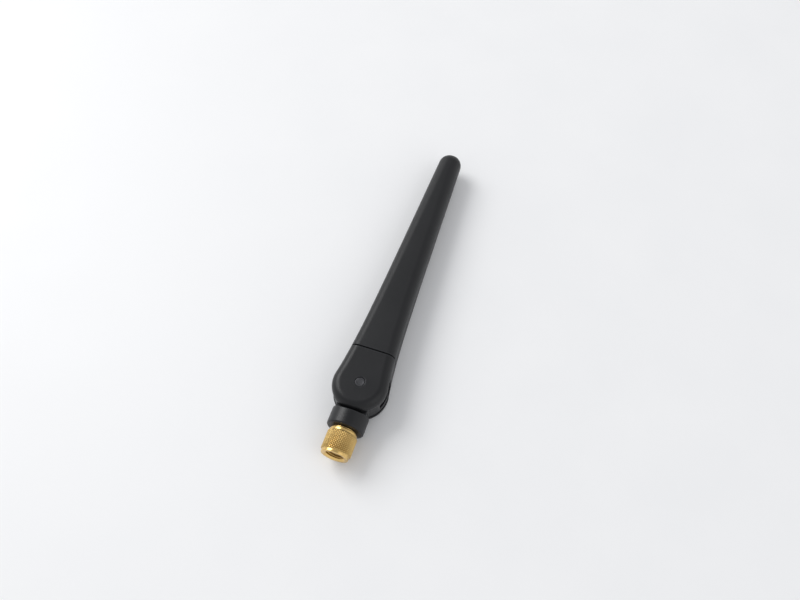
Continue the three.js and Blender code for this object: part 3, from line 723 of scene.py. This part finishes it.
def contact_shape(x, y, z):
    """Distance to the socket contact: slit fingers, a shoulder and a solder cup."""
    mouth_edge, shoulder_edge, edge, slit_edge = 0.06, 0.05, 0.04, 0.03
    socket_end_y = CONTACT_SHOULDER_START_Y + 0.1  # inside the shoulder
    reach = np.hypot(x, z)
    shoulder_span = CONTACT_SHOULDER_START_Y, CONTACT_SHOULDER_END_Y
    socket = rod(reach, y, CONTACT_RADIUS, CONTACT_START_Y, socket_end_y, mouth_edge)
    shoulder = rod(reach, y, CONTACT_SHOULDER_RADIUS, *shoulder_span, shoulder_edge)
    cup = rod(reach, y, SOLDER_CUP_RADIUS, CONTACT_SHOULDER_START_Y, CONTACT_END_Y, edge)
    solid = either(either(socket, shoulder, edge), cup, edge)
    socket_bore = both(reach - CONTACT_BORE, y - CONTACT_BORE_END_Y)
    cup_bore = both(reach - SOLDER_CUP_BORE, SOLDER_CUP_START_Y - y)
    solid = without(solid, either(socket_bore, cup_bore), edge)
    slits = both(np.minimum(np.abs(x), np.abs(z)) - SLIT_WIDTH / 2, y - SLIT_END_Y)
    return without(solid, slits, slit_edge)


def centre_contact(material):
    low = (-CONTACT_SHOULDER_RADIUS, CONTACT_START_Y, -CONTACT_SHOULDER_RADIUS)
    high = (CONTACT_SHOULDER_RADIUS, CONTACT_END_Y, CONTACT_SHOULDER_RADIUS)
    return moulded_piece("centre_contact_slit", contact_shape, low, high, material, CONTACT_CELL)


def ring_piece(name, node, wall, edge_radius, material, gap=0.0):
    """A plain ring in the place of its CAD node, whole or open."""
    inner, outer, start, end = ring_of(node, wall)
    outline = [(inner, start), (outer, start), (outer, end), (inner, end)]
    return turned_piece(name, rounded(outline, edge_radius, steps=4), material, gap=gap)


def crimp_ferrule(material):
    """Thin sleeve pressed to a hexagon over the braid, with plain round ends."""
    inner, outer, start, end = ring_of("crimp_ferrule", CRIMP_WALL)
    outline = rounded([(inner, start), (outer, start), (outer, end), (inner, end)], 0.08)
    points, faces = turn(subdivided(outline, CELL))
    x, _, z = points.T
    reach, angle = np.hypot(x, z), np.arctan2(x, z)
    side = math.pi / 3
    from_middle_of_side = (angle + side / 2) % side - side / 2
    hexagon = CRIMP_FLAT * outer / np.cos(from_middle_of_side)
    from_end = np.minimum(points[:, 1] - start, end - points[:, 1])
    pressed = np.clip((from_end - CRIMP_PLAIN_END) / CRIMP_RAMP, 0, 1) * (reach > (inner + outer) / 2)
    scale = 1 - pressed * (1 - np.minimum(1, hexagon / reach))
    points[:, ::2] *= scale[:, None]
    return make_piece("crimp_ferrule_pressed", points, faces, material, smooth_angle=SHARP_ANGLE)


def groove_ways(around, along):
    """Distance of a place on the knurl from each slant's nearest groove, in half widths of a diamond."""
    return [abs((lean + 0.5) % 1 - 0.5) * 2 for lean in (around + along, around - along)]


def knurl_cut(column, y):
    """How deep the crossed knurl cuts into the nut, 0 to 1, at a mesh column and a height."""
    nearest = min(groove_ways(column / (2 * KNURL_STEPS), (y - KNURL_START_Y) / KNURL_PITCH))
    return max(0.0, 1 - nearest / KNURL_SLOPE)


def nut_rows():
    """The nut's closed outline as rows (radius, y, kind), where kind names the surface that starts there."""
    groove_start, groove_end = NUT_RING_GROOVE[2:]
    groove_radius = NUT_RING_GROOVE[1]
    front = rounded([
        (THREAD_CREST, THREAD_START_Y - ROW_GAP, 0),
        (NUT_MOUTH_RADIUS, 0, 0.06),
        (NUT_RIM_RADIUS, 0, 0.16),
        (NUT_RIM_RADIUS, KNURL_START_Y - ROW_GAP, 0.04),
    ], 0.1, closed=False)
    knurl_steps = round((KNURL_END_Y - KNURL_START_Y) / KNURL_PITCH * 2 * KNURL_STEPS)
    back = rounded([
        (NUT_RIM_RADIUS, KNURL_END_Y + ROW_GAP),
        (NUT_RIM_RADIUS, NUT_LENGTH, 0.16),
        (NUT_NECK_BORE, NUT_LENGTH, 0.12),
        (NUT_NECK_BORE, groove_end),
        (groove_radius, groove_end),
        (groove_radius, groove_start),
        (NUT_NECK_BORE, groove_start),
        (NUT_NECK_BORE, NUT_NECK_START_Y),
        (NUT_BORE, NUT_NECK_START_Y),
        (NUT_BORE, THREAD_END_Y + 2 * ROW_GAP),
    ], 0.04, closed=False)
    thread_steps = round((THREAD_END_Y - THREAD_START_Y) / THREAD_PITCH * THREAD_STEPS)
    rows = [(radius, y, "plain") for radius, y in front]
    rows += [(NUT_RADIUS, y, "knurl") for y in np.linspace(KNURL_START_Y, KNURL_END_Y, knurl_steps + 1)]
    rows += [(radius, y, "plain") for radius, y in back]
    rows += [(THREAD_CREST, y, "thread") for y in np.linspace(THREAD_END_Y, THREAD_START_Y, thread_steps + 1)]
    return rows


def nut_cut(y, kind, column):
    """How deep the knurl or the thread is cut, 0 to 1, at a row and a mesh column."""
    if kind == "knurl":
        return knurl_cut(column, y)
    if kind == "thread":
        phase = (y / THREAD_PITCH - column / NUT_COLUMNS) % 1
        run_out = min(1, (y - THREAD_START_Y) / THREAD_RUN_OUT, (THREAD_END_Y - y) / THREAD_RUN_OUT)
        return (0.5 - 0.5 * math.cos(2 * math.pi * phase)) * max(0, run_out)
    return 0.0


def nut_radius(radius, y, kind, cut):
    """The nut's radius at a row, with the cut made in it and the knurl's ends chamfered."""
    if kind == "knurl":
        from_end = min(y - KNURL_START_Y, KNURL_END_Y - y)
        return min(radius - KNURL_DEPTH * cut, NUT_RIM_RADIUS + KNURL_END_STEP + from_end)
    if kind == "thread":
        return radius + (THREAD_ROOT - THREAD_CREST) * cut
    return radius


def knurl_triangles(quad, column, y):
    """A cell of the knurl, split along the groove that runs nearest to it."""
    a, b, c, d = quad
    around = (column + 0.5) / (2 * KNURL_STEPS)
    along = (y - KNURL_START_Y) / KNURL_PITCH + 1 / (4 * KNURL_STEPS)
    rising, falling = groove_ways(around, along)
    if rising < falling:
        return [(a, b, d), (b, c, d)]
    return [(a, b, c), (a, c, d)]


def coupling_nut(material):
    """Nut with a crossed knurl between plain rims, a lead-in, a thread and a groove for its spring ring."""
    rows = nut_rows()
    points, cuts, faces = [], [], []
    for i in range(NUT_COLUMNS):
        angle = 2 * math.pi * i / NUT_COLUMNS
        for radius, y, kind in rows:
            cut = nut_cut(y, kind, i)
            reach = nut_radius(radius, y, kind, cut)
            points.append((reach * math.sin(angle), y, reach * math.cos(angle)))
            cuts.append(cut)
        near, far = i * len(rows), ((i + 1) % NUT_COLUMNS) * len(rows)
        for j, (_, y, kind) in enumerate(rows):
            k = (j + 1) % len(rows)
            quad = (near + j, far + j, far + k, near + k)
            knurled = kind == "knurl" and rows[k][2] == "knurl"
            faces += knurl_triangles(quad, i, y) if knurled else [quad]
    # the cut depths let the metal paint shade into the grooves of the knurl and the thread
    return machined("coupling_nut_knurled", points, faces, material, marks={"hollow": cuts})


# -------- dipole and cable


def dipole_sleeve(material):
    """Drawn brass cup, closed at the feed end round the cable's braid."""
    inner = SLEEVE_RADIUS - SLEEVE_WALL
    hole = BRAID_RADIUS + LAYER_GAP
    outline = rounded([
        (inner, SLEEVE_START_Y, 0.08),
        (SLEEVE_RADIUS, SLEEVE_START_Y, 0.08),
        (SLEEVE_RADIUS, FEED_Y, 0.5),
        (hole, FEED_Y, 0.06),
        (hole, FEED_Y - SLEEVE_WALL, 0.06),
        (inner, FEED_Y - SLEEVE_WALL, 0.2),
    ], 0.1, steps=5)
    return turned_piece("dipole_sleeve_drawn", outline, material)


def upper_radiator(material):
    """Brass rod with a bore for the cable's conductor."""
    bore = CONDUCTOR_RADIUS + LAYER_GAP
    outline = rounded([
        (0, CONDUCTOR_END_Y + LAYER_GAP),
        (bore, CONDUCTOR_END_Y + LAYER_GAP, 0.02),
        (bore, RADIATOR_START_Y, 0.05),
        (RADIATOR_RADIUS, RADIATOR_START_Y),
        (RADIATOR_RADIUS, RADIATOR_END_Y, 0.3),
        (0, RADIATOR_END_Y),
    ], 0.1, closed=False)
    return turned_piece("upper_radiator_turned", outline, material)


def feed_heat_shrink(material):
    """Shrink tube drawn down from the sleeve onto the upper radiator."""
    wide = SLEEVE_RADIUS + DIPOLE_FIT
    narrow = RADIATOR_RADIUS + DIPOLE_FIT
    neck_start = FEED_Y + SHRINK_WALL
    neck_end = RADIATOR_START_Y + SHRINK_WALL
    outline = rounded([
        (wide, SHRINK_START_Y),
        (wide + SHRINK_WALL, SHRINK_START_Y, 0.15),
        (wide + SHRINK_WALL, neck_start + SHRINK_WALL, 0.9),
        (narrow + SHRINK_WALL, neck_end + SHRINK_WALL, 0.9),
        (narrow + SHRINK_WALL, SHRINK_END_Y, 0.12),
        (narrow, SHRINK_END_Y),
        (narrow, neck_end, 0.3),
        (wide, neck_start, 0.3),
    ], 0.1, steps=6)
    return turned_piece("feed_heat_shrink_drawn", outline, material)


def foam_spacer(node, part_radius, material):
    """Foam block cut to the radome's section, with a bore for the dipole."""
    start, end = span(node, "y")

    def shape(x, y, z):
        room = blade_room(x, y, z, RADOME_WALL + FOAM_FIT)
        block = both(room, np.maximum(start - y, y - end), FOAM_EDGE)
        return without(block, np.hypot(x, z) - part_radius - DIPOLE_FIT, SMALL_EDGE)

    low, high = zip(*(span(node, axis) for axis in "xyz"))
    return moulded_piece(f"{node}_cut", shape, low, high, material)


def cable_layer(name, node, inner, material):
    """One layer of the cable, a tube or a wire, with rows close enough to bend at the hinge."""
    outer = span(node, "x")[1]
    start, end = span(node, "y")
    if inner:
        outline = rounded([(inner, start), (outer, start), (outer, end), (inner, end)], 0.03, steps=2)
        points, faces = turn(subdivided(outline, CABLE_ROW), CABLE_SIDES)
    else:
        rows = [(outer, y) for y in np.linspace(start, end, math.ceil((end - start) / CABLE_ROW))]
        points, faces = turn_solid([(0, start), *rows, (0, end)], CABLE_SIDES)
    return make_piece(name, points, faces, material, smooth_angle=SHARP_ANGLE)


def coax_braid(material):
    """Woven screen: wires over and under each other round the cable, spread over the crimp stub."""
    crossings = 8
    steps = 3  # mesh steps from one wire to the next
    lift = 0.03
    row_length = 0.16
    inner = DIELECTRIC_RADIUS + LAYER_GAP
    spread = BRAID_SPREAD_RADIUS - BRAID_RADIUS
    spread_end = BRAID_SPREAD_END_Y + spread
    heights = np.append(np.arange(BRAID_START_Y, BRAID_END_Y, row_length), BRAID_END_Y)
    slope = np.clip((spread_end - heights) / spread, 0, 1)
    outer_rows = list(zip(BRAID_RADIUS + spread * slope, heights))
    inner_rows = [
        (inner, BRAID_END_Y),
        (inner, spread_end),
        (BRAID_SPREAD_RADIUS - BRAID_SPREAD_WALL, BRAID_SPREAD_END_Y),
        (BRAID_SPREAD_RADIUS - BRAID_SPREAD_WALL, BRAID_START_Y),
    ]
    rows = subdivided(outer_rows + inner_rows, CABLE_ROW)
    sides = 2 * steps * crossings
    points, faces = turn(rows, sides)
    x, _, z = points.T
    reach, angle = np.hypot(x, z), np.arctan2(x, z)
    along = points[:, 1] * math.pi / (steps * row_length)
    weave = np.cos(crossings * angle + along) * np.cos(crossings * angle - along)
    outside = np.tile(np.arange(len(rows)) < len(outer_rows), sides)
    scale = 1 - np.where(outside, lift * (0.5 - 0.5 * weave), 0) / reach
    points[:, ::2] *= scale[:, None]
    return make_piece("coax_braid_woven", points, faces, material)


def finish_cable_layer(piece, node):
    """Bakes a finished layer's place into its mesh and puts it in the place of its CAD node."""
    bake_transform(piece)
    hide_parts(node)


# -------- materials


def add_node(tree, kind, inputs=None, **settings):
    """A shader node with its settings, and its inputs set to values or wired to other nodes' outputs.

    An input is named, or numbered where its name repeats.
    """
    node = tree.nodes.new(kind)
    for key, value in settings.items():
        setattr(node, key, value)
    for key, value in (inputs or {}).items():
        if isinstance(value, bpy.types.NodeSocket):
            tree.links.new(value, node.inputs[key])
        else:
            node.inputs[key].default_value = value
    return node


def new_material(name):
    """An empty node material, and its tree, shader and object coordinates."""
    material = bpy.data.materials.new(name)
    material.use_nodes = True
    tree = material.node_tree
    tree.nodes.clear()
    shader = add_node(tree, "ShaderNodeBsdfPrincipled")
    output = add_node(tree, "ShaderNodeOutputMaterial")
    tree.links.new(shader.outputs["BSDF"], output.inputs["Surface"])
    place = add_node(tree, "ShaderNodeTexCoord").outputs["Object"]
    return material, tree, shader, place


def noise(tree, place, size, detail, roughness=0.5):
    """Noise whose lumps are about size metres across."""
    inputs = {"Vector": place, "Scale": 1 / size, "Detail": detail, "Roughness": roughness}
    return add_node(tree, "ShaderNodeTexNoise", inputs).outputs["Fac"]


def stretch(tree, value, low, high, new_low=0, new_high=1):
    """A value mapped from one range to another, and kept inside it."""
    inputs = {"Value": value, "From Min": low, "From Max": high, "To Min": new_low, "To Max": new_high}
    return add_node(tree, "ShaderNodeMapRange", inputs).outputs["Result"]


def spread(tree, value, low, high):
    """The usual range of a noise spread over a range of its own."""
    return stretch(tree, value, 0.3, 0.7, low, high)


def calculate(tree, operation, a, b=0.0):
    return add_node(tree, "ShaderNodeMath", {0: a, 1: b}, operation=operation).outputs["Value"]


def mixed(tree, share, dark, light):
    """A colour between two, by a share."""
    dark, light = [(*colour, 1) if isinstance(colour, tuple) else colour for colour in (dark, light)]
    inputs = {"Factor": share, 6: dark, 7: light}  # 6 and 7 are the node's two colours
    return add_node(tree, "ShaderNodeMix", inputs, data_type="RGBA").outputs[2]


def scaled(colour, factor):
    return tuple(min(1.0, channel * factor) for channel in colour)


def bump(tree, height, depth, normal=None):
    """A bump of about depth metres from a height between 0 and 1."""
    inputs = {"Height": height, "Distance": depth}
    if normal is not None:
        inputs["Normal"] = normal
    return add_node(tree, "ShaderNodeBump", inputs).outputs["Normal"]


def connect(tree, shader, colour, roughness, normal):
    """Gives the shader the colour, roughness and bump that a material works out."""
    for key, value in (("Base Color", colour), ("Roughness", roughness), ("Normal", normal)):
        tree.links.new(value, shader.inputs[key])


def moulded_plastic(name, colour, roughness, grain, depth):
    """Black plastic with a spark-eroded mould grain, faint flow clouds, fine scuffs and rubbed edges."""
    material, tree, shader, place = new_material(name)
    clouds = noise(tree, place, size=0.009, detail=4)
    tint = mixed(tree, clouds, scaled(colour, 0.85), scaled(colour, 1.2))
    fibres = add_node(tree, "ShaderNodeMapping", {"Vector": place, "Scale": (6, 1, 6)}).outputs["Vector"]
    scuffs = stretch(tree, noise(tree, fibres, size=0.004, detail=6, roughness=0.7), 0.5, 0.75)
    edge = add_node(tree, "ShaderNodeAttribute", attribute_name="edge").outputs["Fac"]
    patches = noise(tree, place, size=0.0015, detail=4)
    worn = calculate(tree, "MULTIPLY", stretch(tree, edge, 0, 0.16), patches)
    tint = mixed(tree, worn, tint, scaled(colour, 2.4))
    rough = spread(tree, clouds, roughness - 0.03, roughness + 0.04)
    rough = calculate(tree, "ADD", rough, calculate(tree, "MULTIPLY", scuffs, 0.08))
    rough = calculate(tree, "SUBTRACT", rough, calculate(tree, "MULTIPLY", worn, 0.08))
    waves = bump(tree, noise(tree, place, size=0.006, detail=1), depth=0.00003)
    skin = bump(tree, noise(tree, place, grain, detail=3, roughness=0.6), depth, waves)
    connect(tree, shader, tint, rough, skin)
    shader.inputs["Specular IOR Level"].default_value = 0.36
    return material


def from_centre_line(tree, place):
    """Distance from the centre line and place along it, as a texture place that is the same all round."""
    shifted = add_node(tree, "ShaderNodeVectorMath", {0: place, 1: (0, 0, CENTRE_Z)}, operation="SUBTRACT")
    parts = add_node(tree, "ShaderNodeSeparateXYZ", {"Vector": shifted.outputs["Vector"]})
    squares = [calculate(tree, "POWER", parts.outputs[axis], 2.0) for axis in ("X", "Z")]
    reach = calculate(tree, "SQRT", calculate(tree, "ADD", *squares))
    inputs = {"X": reach, "Y": parts.outputs["Y"]}
    return add_node(tree, "ShaderNodeCombineXYZ", inputs).outputs["Vector"]


def turned_metal(name, colour, roughness, stain=0.25):
    """Turned metal: fine tool rings, soft stains, grooves painted dark as shade and made rougher, and edges
    rubbed bright.
    """
    material, tree, shader, place = new_material(name)
    shader.inputs["Metallic"].default_value = 1.0
    tool = noise(tree, from_centre_line(tree, place), size=0.00012, detail=3, roughness=0.7)
    stains = noise(tree, place, size=0.0035, detail=5, roughness=0.6)
    tint = mixed(tree, stretch(tree, stains, 0.35, 0.7), colour, scaled(colour, 1 - stain))
    sharpness = add_node(tree, "ShaderNodeNewGeometry").outputs["Pointiness"]
    worn = stretch(tree, sharpness, 0.52, 0.6)
    tint = mixed(tree, calculate(tree, "MULTIPLY", worn, 0.6), tint, scaled(colour, 1.25))
    # painted shade: the knurl's and thread's grooves are darkened towards 0.3 of the colour, and made rougher
    hollow = add_node(tree, "ShaderNodeAttribute", attribute_name="hollow").outputs["Fac"]
    groove_dullness_and_shade = stretch(tree, hollow, 0.2, 1, 0, 0.8)
    tint = mixed(tree, groove_dullness_and_shade, tint, scaled(colour, 0.3))
    rough = spread(tree, stains, roughness - 0.06, roughness + 0.08)
    rough = calculate(tree, "ADD", rough, spread(tree, tool, -0.04, 0.04))
    rough = calculate(tree, "ADD", rough, calculate(tree, "MULTIPLY", groove_dullness_and_shade, 0.25))
    connect(tree, shader, tint, rough, bump(tree, tool, depth=0.000004))
    return material


def soft_plastic(name, colour, roughness, lumps=0.0004, depth=0.00001, waxy=0.0):
    """Plain soft polymer: mottled, with a fine lumpy skin."""
    material, tree, shader, place = new_material(name)
    mottle = noise(tree, place, size=0.003, detail=4)
    tint = mixed(tree, mottle, scaled(colour, 0.85), scaled(colour, 1.1))
    rough = spread(tree, mottle, roughness - 0.07, roughness + 0.07)
    connect(tree, shader, tint, rough, bump(tree, noise(tree, place, lumps, detail=3), depth))
    if waxy:
        shader.inputs["Subsurface Weight"].default_value = waxy
        shader.inputs["Subsurface Scale"].default_value = 0.0006
    return material


def pale_table():
    """Smooth white tabletop with a barely visible mottle."""
    material, tree, shader, place = new_material("table_white")
    mottle = noise(tree, place, size=0.03, detail=4)
    tint = mixed(tree, mottle, (0.86, 0.865, 0.87), (0.9, 0.9, 0.9))
    rough = spread(tree, mottle, 0.45, 0.55)
    skin = noise(tree, place, size=0.0008, detail=2)
    connect(tree, shader, tint, rough, bump(tree, skin, depth=0.000006))
    return material


BLACK_RADOME = moulded_plastic(
    "radome_plastic_black", (0.0080, 0.0084, 0.0095), roughness=0.42, grain=0.00028, depth=0.00004
)
BLACK_KNUCKLE = moulded_plastic(
    "knuckle_plastic_black", (0.0072, 0.0075, 0.0086), roughness=0.38, grain=0.00022, depth=0.00003
)
GOLD = turned_metal("gold_plating", (0.82, 0.56, 0.21), roughness=0.24)
PIN_STEEL = turned_metal("pin_steel_blackened", (0.08, 0.08, 0.085), roughness=0.42)
SPRING_STEEL = turned_metal("spring_steel", (0.45, 0.45, 0.46), roughness=0.3)
BRASS = turned_metal("dipole_brass", (0.70, 0.49, 0.21), roughness=0.36, stain=0.4)
PTFE = soft_plastic("ptfe_white", (0.82, 0.81, 0.78), roughness=0.42, waxy=0.3)
SILICONE = soft_plastic("gasket_silicone", (0.42, 0.06, 0.03), roughness=0.55)
SHRINK = soft_plastic("shrink_tube_black", (0.014, 0.014, 0.016), roughness=0.5)
JACKET = soft_plastic("cable_jacket_brown", (0.26, 0.11, 0.04), roughness=0.3)
FOAM = soft_plastic("foam_pale", (0.6, 0.61, 0.63), roughness=0.95, lumps=0.0007, depth=0.0002)
BRAID = turned_metal("cable_braid_silvered", (0.6, 0.6, 0.6), roughness=0.34)
COPPER = turned_metal("conductor_copper", (0.76, 0.46, 0.36), roughness=0.32)

# -------- the antenna

finish_piece(radome(BLACK_RADOME), "blade", "radome")
finish_piece(hinge_fork(BLACK_KNUCKLE), "blade", "hinge_fork")
finish_piece(elbow(BLACK_KNUCKLE), "elbow", "elbow")
for side, place in ((1, "front"), (-1, "back")):
    pin = hinge_pin(f"hinge_pin_{place}_turned", side, PIN_STEEL)
    finish_piece(pin, "blade", f"hinge_pin_{place}")

finish_piece(dipole_sleeve(BRASS), "blade", "dipole_sleeve")
finish_piece(upper_radiator(BRASS), "blade", "upper_radiator")
finish_piece(feed_heat_shrink(SHRINK), "blade", "feed_heat_shrink")
spacer = ring_piece("sleeve_spacer_turned", "sleeve_spacer", SPACER_WALL, 0.1, PTFE)
finish_piece(spacer, "blade", "sleeve_spacer")
for node, part_radius in (("lower_foam_spacer", SLEEVE_RADIUS), ("upper_foam_spacer", RADIATOR_RADIUS)):
    finish_piece(foam_spacer(node, part_radius, FOAM), "blade", node)

finish_piece(connector_body(GOLD), "connector", "connector_body")
finish_piece(connector_insulator(PTFE), "connector", "connector_insulator")
finish_piece(centre_contact(GOLD), "connector", "centre_contact")
finish_piece(crimp_ferrule(GOLD), "connector", "crimp_ferrule")
gasket = ring_piece("gasket_moulded", "gasket", GASKET_WALL, 0.16, SILICONE)
finish_piece(gasket, "connector", "gasket")
for node, wall in (("nut_retaining_ring", RETAINING_RING_WALL), ("swivel_clip", CLIP_WALL)):
    open_ring = ring_piece(f"{node}_open", node, wall, 0.06, SPRING_STEEL, RING_GAP)
    finish_piece(open_ring, "connector", node)
finish_piece(coupling_nut(GOLD), "nut", "coupling_nut")

for name, node, inner, material, slot in (
    ("coax_jacket_tube", "coax_jacket", BRAID_RADIUS + LAYER_GAP, JACKET, "cable_jacket"),
    ("coax_dielectric_tube", "coax_dielectric", CONDUCTOR_RADIUS + LAYER_GAP, PTFE, "ptfe"),
    ("coax_conductor_wire", "coax_conductor", 0, COPPER, "copper"),
):
    finish_cable_layer(cable_layer(name, node, inner, material), node)
finish_cable_layer(coax_braid(BRAID), "coax_braid")

# -------- table, light and camera


def table():
    """Large pale tabletop under the antenna."""
    half = 12.0
    corners = [(-half, -half, 0), (half, -half, 0), (half, half, 0), (-half, half, 0)]
    mesh = bpy.data.meshes.new("table_top")
    mesh.from_pydata(corners, [], [(0, 1, 2, 3)])
    mesh.materials.append(pale_table())
    top = bpy.data.objects.new("table_top", mesh)
    bpy.context.scene.collection.objects.link(top)


def aimed(name, data, azimuth, elevation, distance):
    """A light or camera aimed at the part's origin from a viewing angle: azimuth 0 looks along +Y."""
    a, e = math.radians(azimuth), math.radians(elevation)
    away = Vector((math.sin(a) * math.cos(e), -math.cos(a) * math.cos(e), math.sin(e)))
    thing = bpy.data.objects.new(name, data)
    bpy.context.scene.collection.objects.link(thing)
    thing.location = away * distance
    thing.rotation_euler = away.to_track_quat("Z", "Y").to_euler()
    return thing


def area_light(name, azimuth, elevation, distance, size, power):
    """A square soft light."""
    lamp = bpy.data.lights.new(name, "AREA")
    lamp.size = size
    lamp.energy = power
    aimed(name, lamp, azimuth, elevation, distance)


def camera(azimuth, elevation, distance, focal_length):
    lens = bpy.data.cameras.new("camera")
    lens.lens = focal_length
    lens.clip_start = 0.005
    bpy.context.scene.camera = aimed("camera", lens, azimuth, elevation, distance)


def studio_world(horizon, zenith):
    """Soft white surroundings, darker overhead."""
    world = bpy.data.worlds.new("studio")
    bpy.context.scene.world = world
    world.use_nodes = True
    tree = world.node_tree
    place = add_node(tree, "ShaderNodeTexCoord").outputs["Generated"]
    up = add_node(tree, "ShaderNodeSeparateXYZ", {"Vector": place}).outputs["Z"]
    tree.links.new(mixed(tree, up, horizon, zenith), tree.nodes["Background"].inputs["Color"])


table()
camera(azimuth=18.9, elevation=60, distance=0.263, focal_length=35)
area_light("key", azimuth=250, elevation=42, distance=1.6, size=0.9, power=14)
area_light("fill", azimuth=75, elevation=40, distance=1.6, size=1.2, power=3)
studio_world(horizon=(0.86, 0.86, 0.87), zenith=(0.46, 0.47, 0.49))
bpy.context.scene.view_settings.view_transform = "Standard"
